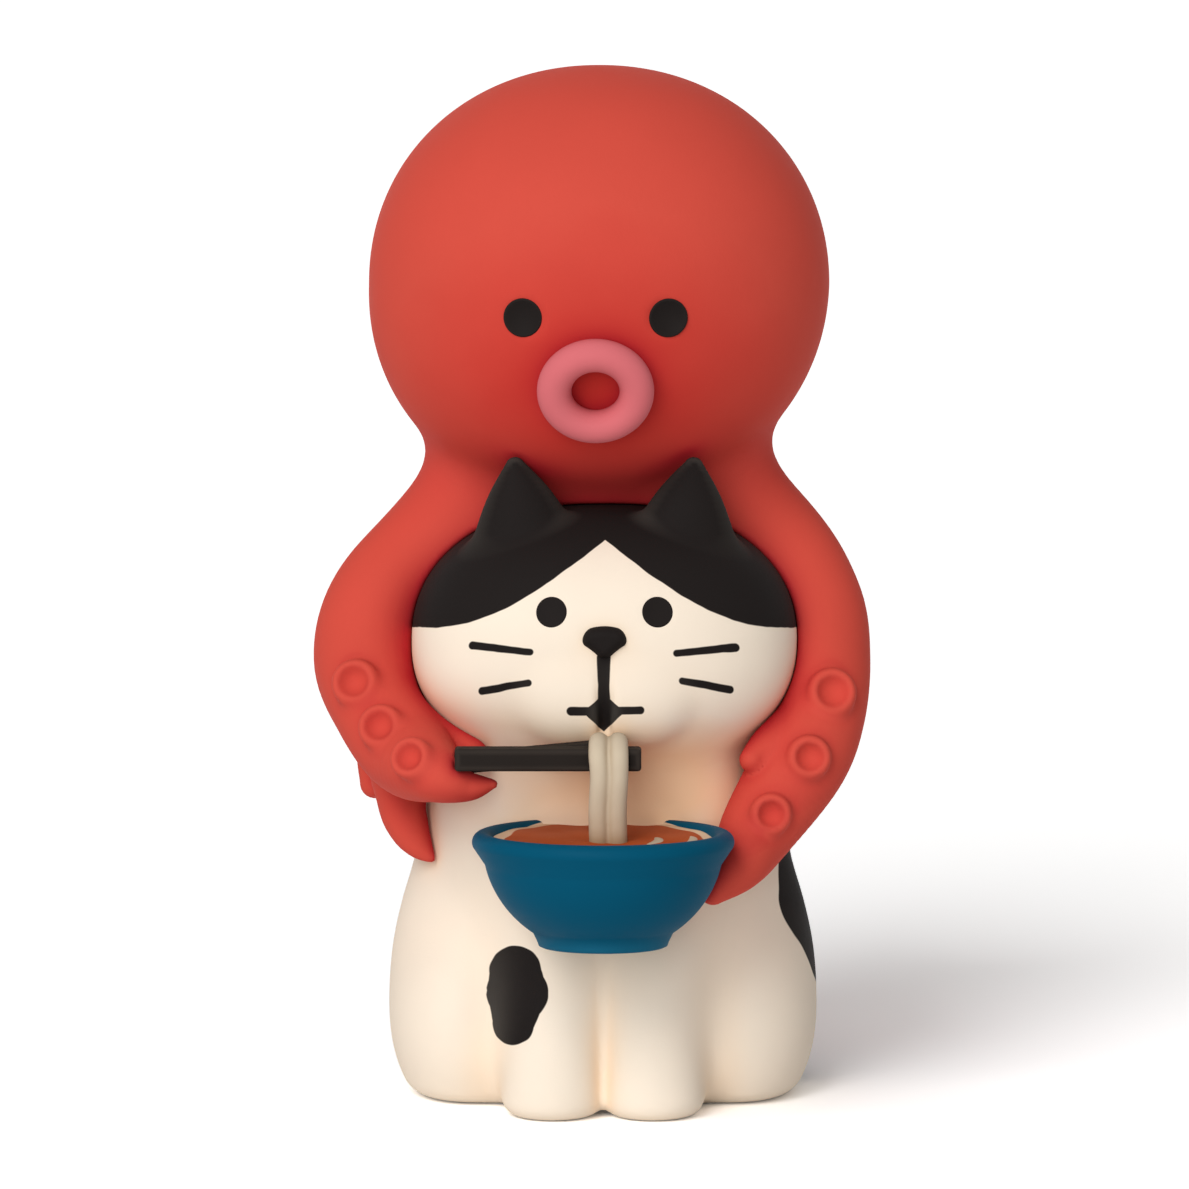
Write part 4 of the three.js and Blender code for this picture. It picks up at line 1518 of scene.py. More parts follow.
@dataclass
class Cat:
    """The seated cat: body, head, nose, eyes and tail.

    The bib is the cream that runs over the bowl's back.
    """

    bib: Limb
    torso: Stack = Stack(
        (
            (-1.0, 13.2, 9.2, 12.0),
            (10.5, 16.1, 10.6, 13.4),
            (18.5, 14.6, 10.8, 11.6),
            (23.5, 13.6, 10.0, 10.4),
            (28.0, 11.3, 8.8, 8.6),
        )
    )
    leg_half_spacing: float = 3.85
    leg_top: Triple = (-7.5, 17.0, 3.3)
    foot: Triple = (-11.4, 1.5, 3.9)
    leg_cleft: float = 1.1
    leg_fillet: float = 3.3
    chest: Ball = Ball((0.0, -4.7, 22.3), 11.0, 5.9, 6.5, 7.0, 2.8)
    chest_fillet: float = 3.0
    bib_fillet: float = 1.8
    haunch: Triple = (10.5, -1.5, 6.2)
    haunch_half: Triple = (6.05, 8.6, 8.6)
    haunch_fillet: float = 2.4
    base_round: float = 1.3
    body_box: Box = ((-18.0, -16.0, -0.5), (18.0, 14.0, 32.0))
    head_middle: float = 35.8
    head_depth: float = 11.0
    crown: float = 10.6
    jaw: float = 9.7
    head_power: float = 2.28
    head_box: Box = ((-16.0, -17.0, 25.0), (16.0, 8.0, 52.0))
    neck_fillet: float = 4.5
    lap: float = 0.8
    ear_plane: float = -7.6
    ear_flat: float = 0.63
    ear_levels: tuple[Triple, ...] = ((5.8, 41.6, 4.9), (6.35, 46.1, 2.95), (6.85, 49.85, 0.75))
    ear_fillet: float = 0.9
    muzzle_drop: float = 3.4
    muzzle_half_spacing: float = 2.3
    muzzle_sink: float = 1.5
    muzzle_half: Quadruple = (3.4, 2.05, 2.9, 3.0)
    muzzle_fillet: float = 2.0
    groove_levels: tuple[Pair, ...] = ((1.0, 0.5), (-2.0, 0.5), (-5.2, 0.42))
    groove_stand: float = 0.65
    groove_round: float = 0.7
    nose_spot: Pair = (0.1, 37.35)
    nose_half: Pair = (1.7, 1.24)
    nose_round: float = 0.74
    nose_depth: float = 1.25
    nose_bow: float = 0.13
    nose_sink: float = 0.25
    nose_box: Box = ((-2.5, -17.5, 35.5), (2.5, -13.0, 39.0))
    eye_half_spacing: float = 4.05
    eye_height: float = 39.6
    eye_radius: float = 1.2
    eye_clear: float = 0.1
    eye_hollow: float = 0.16
    eye_edge: float = 0.12
    eye_dish: float = 0.05
    tail_sink: float = 0.25
    tail_fillet: float = 1.4
    tail_clear: float = 0.05
    tail_edge: float = 0.3
    tail_base_round: float = 0.5
    tail_margin: float = 0.8
    tail: Limb = Limb(
        (
            (-3.2, 9.6, 3.8, 1.9),
            (1.0, 12.7, 2.7, 2.0),
            (7.4, 13.1, 2.6, 2.0),
            (12.9, 8.5, 2.6, 2.0),
            (14.5, 3.7, 2.6, 1.3),
        )
    )

    def __post_init__(self) -> None:
        """Takes the head's width and back from the frame."""
        low, high = span("cat_head")
        centre = ((low[0] + high[0]) / 2, high[1] - self.head_depth, self.head_middle)
        width = (high[0] - low[0]) / 2
        self.head = Ball(centre, width, self.head_depth, self.crown, self.jaw, self.head_power)

    def body_gap(self, points: np.ndarray) -> np.ndarray:
        """Measures to the body, with its haunches, legs and bib.

        Args:
            points: Where to measure from.

        Returns:
            Distances, under zero inside.
        """
        gap = self.torso.distance(points)
        legs = []
        for side in Side:
            x = side.value * self.haunch[0]
            haunch = Ball((x, *self.haunch[1:]), *self.haunch_half, self.haunch_half[2])
            gap = blend(gap, haunch.distance(points), self.haunch_fillet)
            leg_x = side.value * self.leg_half_spacing
            stations = ((leg_x, *self.leg_top), (leg_x, *self.foot))
            legs.append(Limb(stations, steps=2).distance(points))
        gap = blend(gap, self.chest.distance(points), self.chest_fillet)
        gap = blend(gap, blend(*legs, self.leg_cleft), self.leg_fillet)
        gap = blend(gap, self.bib.distance(points), self.bib_fillet)
        return meet(gap, -points[:, 2], self.base_round)

    def head_gap(self, points: np.ndarray) -> np.ndarray:
        """Measures to the head, with its ears and muzzle.

        Args:
            points: Where to measure from.

        Returns:
            Distances, under zero inside.
        """
        gap = self.head.distance(points)
        middle = self.head.centre[0]
        for side in Side:
            stations = tuple((middle + side.value * x, self.ear_plane, z, r) for x, z, r in self.ear_levels)
            ear = Limb(stations, steps=14, flat=self.ear_flat, plane=self.ear_plane)
            gap = blend(gap, ear.distance(points), self.ear_fillet)
            aside = side.value * self.muzzle_half_spacing
            puff = self.face_spot(aside, -self.muzzle_drop, self.muzzle_sink)
            gap = blend(gap, Ball(tuple(puff), *self.muzzle_half).distance(points), self.muzzle_fillet)
        groove = Limb(tuple(self.stop(*level) for level in self.groove_levels), steps=10)
        gap = carve(gap, groove.distance(points), self.groove_round)
        for side in Side:
            place, facing = self.eye_spot(side)
            press = Dimple(place, facing, self.eye_radius + self.eye_clear, self.eye_hollow)
            gap = carve(gap, press.distance(points), self.eye_edge)
        return gap

    def parts(self, points: np.ndarray) -> np.ndarray:
        """Distances of points to the body and the head, one row each."""
        return np.stack([self.body_gap(points), self.head_gap(points)])

    def gap(self, points: np.ndarray) -> np.ndarray:
        """Distances of points to the body and the head with a soft neck."""
        return blend(*self.parts(points), self.neck_fillet)

    def part_gap(self, index: int) -> Field:
        """The field of one part, which runs a little way under the other.

        Args:
            index: 0 for the body, and 1 for the head.

        Returns:
            Its field.
        """

        def gap(points: np.ndarray) -> np.ndarray:
            """Distances of points to the part."""
            parts = self.parts(points)
            return share_out(parts, index, blend(*parts, self.neck_fillet), self.lap)

        return gap

    def face_spot(self, x: float, over: float, sink: float) -> np.ndarray:
        """A place behind the skin of the face.

        Args:
            x: How far to the viewer's right of the middle.
            over: How far over the middle.
            sink: How far behind the skin.

        Returns:
            The place.
        """
        place, _ = self.head.front(self.head.centre[0] + x, self.head.centre[2] + over)
        return place + np.array([0.0, sink, 0.0])

    def stop(self, over: float, radius: float) -> Quadruple:
        """A station of the groove under the nose, just in front of the skin."""
        place = self.face_spot(self.nose_spot[0] - self.head.centre[0], over, -self.groove_stand)
        return place[0], place[1], place[2], radius

    def eye_spot(self, side: Side) -> tuple[np.ndarray, np.ndarray]:
        """Where an eye lies, and the way that it faces."""
        return self.head.front(self.head.centre[0] + side.value * self.eye_half_spacing, self.eye_height)

    def nose_gap(self, points: np.ndarray) -> np.ndarray:
        """Measures to the nose, a soft triangle with its point down.

        Args:
            points: Where to measure from.

        Returns:
            Distances, under zero inside.
        """
        place, _ = self.head.front(*self.nose_spot)
        across, out, rise = (points - place - np.array([0.0, self.nose_sink, 0.0])).T
        across = np.abs(across)
        rise = rise + self.nose_bow * across**2
        wide, high = (size - self.nose_round for size in self.nose_half)
        share = np.clip((across * wide + (rise + high) * 2 * high) / (wide**2 + 4 * high**2), 0, 1)
        flank = np.hypot(across - share * wide, rise + high - share * 2 * high)
        top = np.hypot(np.maximum(across - wide, 0), rise - high)
        within = (rise < high) & (across * 2 * high < (rise + high) * wide)
        flat = np.where(within, 0, np.minimum(flank, top))
        return np.hypot(flat, out / self.nose_depth) - self.nose_round

    def tail_gap(self, points: np.ndarray) -> np.ndarray:
        """Measures to the tail, which swells into the body that it lies against.

        Args:
            points: Where to measure from.

        Returns:
            Distances, under zero inside.
        """
        body = self.body_gap(points)
        gap = blend(self.tail.distance(points), body + self.tail_sink, self.tail_fillet)
        gap = meet(gap, self.tail_clear - points[:, 2], self.tail_base_round)
        return carve(gap, body - self.tail_clear, self.tail_edge)

    def build(self, shop: Workshop) -> None:
        """Casts and paints the cat.

        Args:
            shop: The workshop.
        """
        body = Sculptor(STEPS.body).skin(self.part_gap(0), *self.body_box)
        shop.piece("cat_body_casting", *body, CAT_BODY_PAINT, ["cat_body"])
        head = Sculptor(STEPS.head).skin(self.part_gap(1), *self.head_box)
        shop.piece("cat_head_casting", *head, CAT_HEAD_PAINT, ["cat_head"])
        nose = Sculptor(STEPS.nose).skin(self.nose_gap, *self.nose_box)
        shop.piece("cat_nose_button", *nose, BLACK, ["cat_nose"])
        tail = Sculptor(STEPS.tail).skin(self.tail_gap, *self.tail.box(self.tail_margin))
        shop.piece("cat_tail_casting", *tail, BLACK, ["cat_tail"])
        for side in Side:
            name = f"cat_eye_{side.name.lower()}"
            place, facing = self.eye_spot(side)
            disc = eye_disc(place, facing, self.eye_radius, self.eye_dish, 0.0)
            shop.piece(f"{name}_disc", *disc, BLACK, [name])


def eye_disc(
    place: np.ndarray, facing: np.ndarray, radius: float, dish: float, rise: float
) -> tuple[np.ndarray, list[tuple[int, ...]]]:
    """A dished eye that lies in its hollow.

    Args:
        place: Where the eye lies.
        facing: The way that it faces.
        radius: Its radius.
        dish: How deep its face is dished.
        rise: How far its rim stands over the place.

    Returns:
        Points and faces.
    """
    rim = 0.12
    thick = 0.7
    face_edge = 0.86
    dish_edge = 0.92
    arc = np.linspace(-math.pi / 2, math.pi / 2, 7)
    edge = np.stack([radius - rim + rim * np.cos(arc), rise - rim + rim * np.sin(arc)], axis=1)
    share = np.linspace(face_edge, 0.0, 9)
    face = np.stack([radius * share, rise - dish * (1 - (share / dish_edge) ** 2)], axis=1)
    back = [[0.0, -thick], [radius / 2, -thick], [radius - rim, -thick]]
    return Turning(place, facing, 48).mesh(np.vstack([back, edge, face]))


@dataclass(frozen=True)
class Arm:
    """One arm of the octopus, with any suckers as places on the front plane and radii."""

    node: str
    limb: Limb
    suckers: tuple[Triple, ...] = ()
    tilt: float = TILT
    frontal: float = 0.5
    start_ahead: float = 40.0
    marches: int = 60
    nudge: float = 0.05
    sucker_rise: float = 0.6
    ring_share: float = 0.36
    ring_sink: float = 0.75
    pad_share: float = 0.75
    pad_middle: float = -0.5
    pad_half: float = 0.7
    pad_fillet: float = 0.25
    skin_fillet: float = 0.75
    press_stand: float = 0.4
    press_share: float = 0.55
    press_depth: float = 0.46
    press_edge: float = 0.34

    @cached_property
    def spots(self) -> list[tuple[np.ndarray, np.ndarray, float]]:
        """Finds the suckers' spots on the arm's front.

        Returns:
            Where each sucker lies, the way that it faces, and its radius.
        """
        found = []
        ahead = np.array([0.0, math.cos(self.tilt), -math.sin(self.tilt)])
        upright = np.array([0.0, math.sin(self.tilt), math.cos(self.tilt)])
        for across, height, radius in self.suckers:
            place = np.array([across, 0.0, 0.0]) + upright * height - ahead * self.start_ahead
            for _ in range(self.marches):
                place = place + ahead * self.limb.distance(place[None])[0]
            nudges = place + np.vstack([np.eye(3), -np.eye(3)]) * self.nudge
            gaps = self.limb.distance(nudges)
            facing = unit(unit(gaps[:3] - gaps[3:]) * (1 - self.frontal) - ahead * self.frontal)
            found.append((place, facing, radius))
        return found

    def gap(self, points: np.ndarray) -> np.ndarray:
        """Measures to the arm and its suckers.

        Args:
            points: Where to measure from.

        Returns:
            Distances, under zero inside.
        """
        gap = self.limb.distance(points)
        for place, facing, radius in self.spots:
            thick = radius * self.ring_share
            near = np.linalg.norm(points - place, axis=1) < radius * 3
            close = points[near]
            rim = Ring(place, facing, radius - thick, thick, self.sucker_rise - thick * self.ring_sink)
            out, height = rim.reach(close)
            off_middle = np.abs(height - self.pad_middle)
            pad = np.maximum(out - radius * self.pad_share, off_middle - self.pad_half)
            ring = blend(rim.distance(close), pad, self.pad_fillet)
            joined = blend(gap[near], ring, self.skin_fillet)
            spot = place + facing * self.press_stand
            press = Dimple(spot, facing, radius * self.press_share, self.press_depth)
            gap[near] = carve(joined, press.distance(close), self.press_edge)
        return gap


@dataclass
class Octopus:
    """The octopus: mantle and hood, mouth, eyes and eight arms."""

    cat: Cat
    held: Field
    ball_radius: float = 16.9
    ball_power: float = 2.08
    ball_lean: float = 0.033
    hood: Stack = Stack(
        (
            (26.0, 11.0, -3.0, 12.0),
            (37.8, 15.5, 2.0, 14.4),
            (48.2, 12.1, 3.6, 13.4),
            (54.2, 12.3, 5.0, 14.0),
        ),
        -0.42,
    )
    face_side: float = -0.28
    mouth_drop: float = 6.1
    mouth_radius: float = 3.15
    mouth_thick: float = 1.32
    mouth_lift: float = 1.0
    mouth_squash: float = 0.95
    mouth_reach: Triple = (6.0, 4.5, 6.0)
    throat: float = 0.35
    throat_inset: float = 0.8
    throat_edge: float = 0.3
    eye_half_spacing: float = 5.56
    eye_drop: float = 0.9
    eye_radius: float = 1.5
    eye_turn: float = 0.6
    eye_clear: float = 0.1
    eye_hollow: float = 0.42
    eye_edge: float = 0.2
    eye_dish: float = 0.38
    eye_rise: float = 0.03
    web: Ball = Ball((-0.3, 13.5, 24.6), 6.4, 8.0, 5.0, 5.0)
    web_round: float = 2.0
    waist_fillet: float = 2.4
    shoulder_fillet: float = 4.5
    arm_fillet: float = 0.6
    arm_margin: float = 1.2
    mantle_box: Box = ((-19.5, -15.0, 25.0), (19.0, 20.0, 80.5))
    seam: float = 0.06
    seam_round: float = 0.35
    lap: float = 0.7

    def __post_init__(self) -> None:
        """Takes the mantle's place from the frame and lays out the arms, front pair first."""
        low, high = span("octopus_mantle")
        centre = ((low[0] + high[0]) / 2, (low[1] + high[1]) / 2, high[2] - self.ball_radius)
        width, depth = (high - low)[:2] / 2
        self.ball = Ball(
            centre, width, depth, self.ball_radius, self.ball_radius, self.ball_power, self.ball_lean
        )
        self.arms = [
            Arm(
                "chopstick_arm",
                Limb(
                    (
                        (-6.3, 3.0, 48.6, 3.9),
                        (-12.75, 2.6, 42.5, 4.4),
                        (-16.9, 0.5, 38.2, 4.4),
                        (-18.0, -1.9, 34.2, 4.4),
                        (-17.3, -5.9, 30.9, 3.6),
                        (-15.0, -9.5, 28.1, 3.5),
                        (-12.8, -15.6, 27.3, 2.25),
                        (-10.3, -16.6, 26.5, 1.2),
                        (-8.4, -16.9, 26.65, 0.35),
                    ),
                    steps=80,
                ),
                ((-19.05, 31.7, 1.85), (-17.05, 28.35, 1.75), (-14.6, 26.0, 1.65)),
            ),
            Arm(
                "bowl_arm",
                Limb(
                    (
                        (6.2, 3.0, 48.9, 3.9),
                        (12.7, 2.6, 42.8, 4.4),
                        (15.7, 0.5, 38.2, 4.4),
                        (16.3, -1.9, 34.2, 4.4),
                        (16.6, -5.5, 30.2, 3.6),
                        (15.1, -7.9, 26.8, 3.6),
                        (11.85, -10.6, 22.1, 2.9),
                        (10.4, -13.9, 19.9, 2.0),
                        (8.4, -16.2, 18.3, 1.1),
                    ),
                    steps=80,
                ),
                ((17.6, 30.95, 1.9), (15.8, 26.0, 1.7), (12.85, 21.65, 1.6)),
            ),
        ]
        hidden = {
            "neck_arm_left": (
                (-14.3, -0.5, 31.8, 2.1),
                (-13.1, -7.7, 29.0, 2.1),
                (-10.1, -10.7, 28.0, 1.3),
            ),
            "neck_arm_right": (
                (14.3, -0.5, 31.8, 2.1),
                (13.3, -7.5, 28.7, 1.9),
                (11.4, -10.4, 27.5, 0.95),
            ),
            "side_arm_left": (
                (-13.7, 4.0, 37.3, 2.9),
                (-15.6, 1.5, 28.3, 2.9),
                (-15.6, -2.2, 23.2, 1.95),
                (-15.1, -3.5, 21.3, 1.6),
                (-14.3, -4.4, 20.0, 1.1),
                (-13.3, -5.2, 19.0, 0.35),
            ),
            "side_arm_right": (
                (13.7, 4.0, 37.3, 2.9),
                (15.2, 1.5, 29.3, 2.9),
                (15.0, -2.2, 25.2, 1.9),
                (13.9, -4.4, 22.9, 1.2),
            ),
            "rear_arm_left": (
                (-4.6, 7.4, 46.0, 3.6),
                (-6.6, 11.0, 39.0, 3.8),
                (-10.0, 12.5, 32.6, 3.7),
                (-15.2, 10.3, 28.5, 2.6),
                (-17.6, 7.2, 25.8, 1.6),
                (-17.8, 5.6, 23.2, 1.2),
            ),
            "rear_arm_right": (
                (4.0, 7.4, 46.0, 3.6),
                (6.2, 11.0, 39.0, 3.8),
                (9.4, 12.5, 32.2, 3.7),
                (13.6, 10.9, 27.2, 2.7),
                (17.1, 6.2, 24.2, 1.6),
            ),
        }
        self.arms += [Arm(name, Limb(stations)) for name, stations in hidden.items()]
        middle = self.ball.centre[0] + self.face_side
        place, facing = self.ball.front(middle, self.ball.centre[2] - self.mouth_drop)
        self.mouth = Ring(
            place, facing, self.mouth_radius, self.mouth_thick, self.mouth_lift, self.mouth_squash
        )

    def eye_spot(self, side: Side) -> tuple[np.ndarray, np.ndarray]:
        """Finds an eye's spot.

        Args:
            side: The eye's side.

        Returns:
            Where it lies, and the way that it faces.
        """
        x = self.ball.centre[0] + self.face_side + side.value * self.eye_half_spacing
        place, facing = self.ball.front(x, self.ball.centre[2] - self.eye_drop)
        return place, unit(facing * np.array([self.eye_turn, 1.0, 1.0]))

    def mantle_gap(self, points: np.ndarray) -> np.ndarray:
        """Measures to the mantle and hood, with hollows for the eyes and in the mouth.

        Args:
            points: Where to measure from.

        Returns:
            Distances, under zero inside.
        """
        hood = carve(self.hood.distance(points), self.web.distance(points), self.web_round)
        gap = blend(self.ball.distance(points), hood, self.waist_fillet)
        for side in Side:
            press = Dimple(*self.eye_spot(side), self.eye_radius + self.eye_clear, self.eye_hollow)
            gap = carve(gap, press.distance(points), self.eye_edge)
        width = self.mouth_radius - self.throat_inset
        throat = Dimple(self.mouth.place, self.mouth.facing, width, self.throat)
        return carve(gap, throat.distance(points), self.throat_edge)

    def parts(self, points: np.ndarray) -> np.ndarray:
        """Distances of points to the mantle and each arm, one row each."""
        return np.stack([self.mantle_gap(points)] + [arm.gap(points) for arm in self.arms])

    def whole(self, parts: np.ndarray, points: np.ndarray) -> np.ndarray:
        """Joins the parts into one smooth form that is clear of the cat and of what it holds.

        Args:
            parts: Distances to each part.
            points: The points that they were taken at.

        Returns:
            Distances to the whole.
        """
        arms = parts[1]
        for arm in parts[2:]:
            arms = blend(arms, arm, self.arm_fillet)
        gap = blend(parts[0], arms, self.shoulder_fillet)
        for other in (self.cat.gap, self.held):
            gap = carve(gap, other(points) - self.seam, self.seam_round)
        return gap

    def gap(self, points: np.ndarray) -> np.ndarray:
        """Distances of points to the whole octopus, mouth and all."""
        return np.minimum(self.whole(self.parts(points), points), self.mouth.distance(points))

    def part_gap(self, index: int) -> Field:
        """The field of one part, which runs a little way under its neighbours.

        Args:
            index: The part's row.

        Returns:
            Its field.
        """

        def gap(points: np.ndarray) -> np.ndarray:
            """Distances of points to the part."""
            parts = self.parts(points)
            return share_out(parts, index, self.whole(parts, points), self.lap)

        return gap

    def build(self, shop: Workshop) -> None:
        """Casts and paints the octopus.

        Args:
            shop: The workshop.
        """
        mantle = Sculptor(STEPS.mantle).skin(self.part_gap(0), *self.mantle_box)
        shop.piece("octopus_mantle_casting", *mantle, RED, ["octopus_mantle"])
        reach = np.array(self.mouth_reach)
        low, high = self.mouth.place - reach, self.mouth.place + reach
        mouth = Sculptor(STEPS.mouth).skin(self.mouth.distance, low, high)
        shop.piece("octopus_mouth_ring", *mouth, PINK, ["octopus_mouth"])
        for index, arm in enumerate(self.arms):
            step = STEPS.sucker_arm if arm.suckers else STEPS.plain_arm
            skin = Sculptor(step).skin(self.part_gap(index + 1), *arm.limb.box(self.arm_margin))
            shop.piece(f"{arm.node}_casting", *skin, RED, [arm.node])
        for side in Side:
            name = f"octopus_eye_{side.name.lower()}"
            place, facing = self.eye_spot(side)
            disc = eye_disc(place, facing, self.eye_radius, self.eye_dish, self.eye_rise)
            shop.piece(f"{name}_disc", *disc, BLACK, [name])


@dataclass
class Meal:
    """The bowl of broth, the noodles and the chopsticks.

    The frame gives the places of the bowl, the sticks and the strands.
    """

    bowl_height: float = 8.0
    bowl_tip: float = math.radians(2.5)
    lip: float = 0.8
    lip_start: float = -0.45
    under: float = 8.5
    wall_end: float = 1.37
    foot_radius: float = 5.0
    foot_height: float = 0.7
    foot_width: float = 0.9
    foot_round: float = 0.3
    cavity_depth: float = 6.1
    cavity_start: float = 0.08
    broth_depth: float = -0.16
    broth_lap: float = 0.12
    broth_clear: float = 0.02
    broth_edge: float = 0.985
    broth_dish: float = 0.04
    ripple_height: float = 0.06
    ripple_waves: Pair = (1.3, 1.1)
    ripple_shift: float = 0.6
    ripple_depth: float = 0.2
    rear_thin: float = 0.12
    rear_drop: float = 0.68
    rear_lift: float = 1.2
    bib_half: float = 5.2
    bib_inset: float = 0.3
    bib_thin: float = 0.3
    bib_swell: float = 0.7
    bib_drop: float = 0.05
    stick_edge: float = 0.26
    stick_clear: float = 0.03
    stick_press: float = 0.12
    strand_radius: float = 0.76
    strand_spacing: float = 1.4
    strand_pinch: float = 0.42
    strand_fillet: float = 0.35
    nest_start: float = -1.7
    nest_turns: float = 1.4
    nest_inner: float = 3.5
    nest_spread: float = 3.7
    nest_crest: float = 0.5
    nest_crest_turn: float = 0.15
    nest_sink: float = 1.14
    margin: float = 0.4

    def __post_init__(self) -> None:
        """Lays out the bowl, the sticks and the strands."""
        low, high = span("bowl")
        outer = (high[0] - low[0]) / 2
        self.wall_radius = outer - self.lip
        self.rim = np.array([(low[0] + high[0]) / 2, low[1] + outer, low[2] + self.bowl_height])
        sine, cosine = math.sin(self.bowl_tip), math.cos(self.bowl_tip)
        self.turn = np.array([[1.0, 0.0, 0.0], [0.0, cosine, sine], [0.0, -sine, cosine]])
        self.upright = self.turn @ np.array([0.0, 0.0, 1.0])
        self.broth_height = self.rim[2] - self.broth_depth
        self.sticks = [self.stick("chopstick_front"), self.stick("chopstick_rear")]
        low, high = span("noodle_lift")
        middle = (low[0] + high[0]) / 2
        self.strands = []
        for side in Side:
            x = middle + side.value * self.strand_spacing / 2
            pinched = middle + side.value * self.strand_spacing * self.strand_pinch
            places = (
                (pinched, -13.9, 29.2),
                (x, -15.9, 29.6),
                (x + side.value * 0.04, -17.7, 29.95),
                (x + side.value * 0.06, -19.3, 29.2),
                (x + 0.05, -19.7, 27.6),
                (x - 0.06, -19.6, 25.0),
                (x, -19.4, self.broth_height - 0.7),
            )
            stations = tuple((*place, self.strand_radius) for place in places)
            self.strands.append(Limb(stations, steps=60))

    def stick(self, node: str) -> Bar:
        """Lays a chopstick along its node; the rear one is thinner, and its right end is lifted.

        Args:
            node: The node.

        Returns:
            The chopstick.
        """
        low, high = span(node)
        section = (high[1] - low[1]) / 2
        rear = node == "chopstick_rear"
        thin, drop, lift = (self.rear_thin, self.rear_drop, self.rear_lift) if rear else (0.0, 0.0, 0.0)
        centre = ((low[0] + high[0]) / 2, (low[1] + high[1]) / 2, low[2] + section - drop)
        return Bar(centre, ((high[0] - low[0]) / 2, section, section - thin), self.stick_edge, lift)

    def bib(self) -> Limb:
        """The cream that runs from the chest over the back of the rim and thins out along it.

        Returns:
            Its limb.
        """
        stations = []
        for share in np.linspace(-1.0, 1.0, 9):
            x = share * self.bib_half
            swell = 1 - share**4
            radius = self.bib_thin + self.bib_swell * swell
            back = math.sqrt((self.wall_radius - self.bib_inset * swell) ** 2 - x**2)
            place = self.rim + self.turn @ np.array([x, back, -self.bib_drop])
            stations.append((*place, radius))
        return Limb(tuple(stations), steps=24)

    def bowl_gap(self, points: np.ndarray) -> np.ndarray:
        """Measures to the bowl's outside.

        Args:
            points: Where to measure from.

        Returns:
            Distances, under zero inside.
        """
        points = (points - self.rim) @ self.turn
        form = Ball((0.0, 0.0, 0.0), self.wall_radius, self.wall_radius, 1.0, self.under)
        lip = Ring(np.zeros(3), np.array([0.0, 0.0, 1.0]), self.wall_radius, self.lip, 0.0)
        cup = np.maximum(form.distance(points), points[:, 2])
        return np.minimum(cup, lip.distance(points))

    def stick_gap(self, points: np.ndarray) -> np.ndarray:
        """Distances of points to the chopsticks."""
        return np.minimum(*(stick.distance(points) for stick in self.sticks))

    def held_gap(self, points: np.ndarray) -> np.ndarray:
        """Distances of points to the bowl and the chopsticks."""
        return np.minimum(self.bowl_gap(points), self.stick_gap(points))

    def strand_gap(self, points: np.ndarray) -> np.ndarray:
        """Distances of points to the lifted strands, which drape over the chopsticks."""
        gap = blend(*(strand.distance(points) for strand in self.strands), self.strand_fillet)
        return carve(gap, self.stick_gap(points) - self.stick_clear, self.stick_press)

    def nest_limb(self) -> Limb:
        """The noodle that lies in the broth and shows at the viewer's right.

        Returns:
            Its limb.
        """
        stations = []
        for share in np.linspace(0, 1, 15):
            angle = self.nest_start + 2 * math.pi * self.nest_turns * share
            radius = self.nest_inner + self.nest_spread * share
            shown = (1 + math.cos(angle + self.nest_crest_turn)) / 2
            height = self.nest_crest * shown**8 - self.nest_sink - self.broth_depth
            offset = np.array([radius * math.cos(angle), radius * math.sin(angle), height])
            stations.append((*(self.rim + offset), self.strand_radius))
        return Limb(tuple(stations), steps=90)

    def bowl_profile(self) -> np.ndarray:
        """The bowl's section, from under its middle, over the lip and back to its floor.

        Returns:
            Rows of radius and height.
        """
        height = self.bowl_height
        start = math.asin(self.foot_radius / self.wall_radius)
        inner_foot = self.foot_radius - self.foot_width
        foot = [
            (0.0, self.foot_height),
            (inner_foot - self.foot_round, self.foot_height),
            (inner_foot, self.foot_height - self.foot_round),
            (inner_foot + 0.1, 0.08),
            (inner_foot + self.foot_round, 0.0),
            (self.foot_radius - self.foot_round, 0.0),
            (self.foot_radius - 0.08, 0.1),
            (self.foot_radius, 0.35),
        ]
        turn = np.linspace(start, self.wall_end, 18)[1:]
        outside = np.stack([self.wall_radius * np.sin(turn), height - self.under * np.cos(turn)], axis=1)
        arc = np.linspace(self.lip_start, math.pi, 13)
        lip = np.stack([self.wall_radius + self.lip * np.cos(arc), height + self.lip * np.sin(arc)], axis=1)
        fall = np.linspace(math.pi / 2 - self.cavity_start, 0.0, 18)
        cavity = self.wall_radius - self.lip
        inside = np.stack([cavity * np.sin(fall), height - self.cavity_depth * np.cos(fall)], axis=1)
        return np.vstack([foot, outside, lip, inside])

    def broth_profile(self) -> np.ndarray:
        """The broth's section, from its bottom up the bowl's wall and back over its face.

        Returns:
            Rows of radius and height.
        """
        top = self.bowl_height - self.broth_depth
        fall = np.linspace(0.0, math.acos(self.broth_depth / self.cavity_depth), 9)
        cavity = self.wall_radius - self.lip + self.broth_lap
        deep = self.cavity_depth - self.broth_clear
        under = np.stack([cavity * np.sin(fall), self.bowl_height - deep * np.cos(fall)], axis=1)
        share = np.linspace(self.broth_edge, 0.0, 22)
        rise = self.broth_dish * share**6
        face = np.stack([under[-1, 0] * share, top - self.broth_dish + rise], axis=1)
        return np.vstack([under, face])

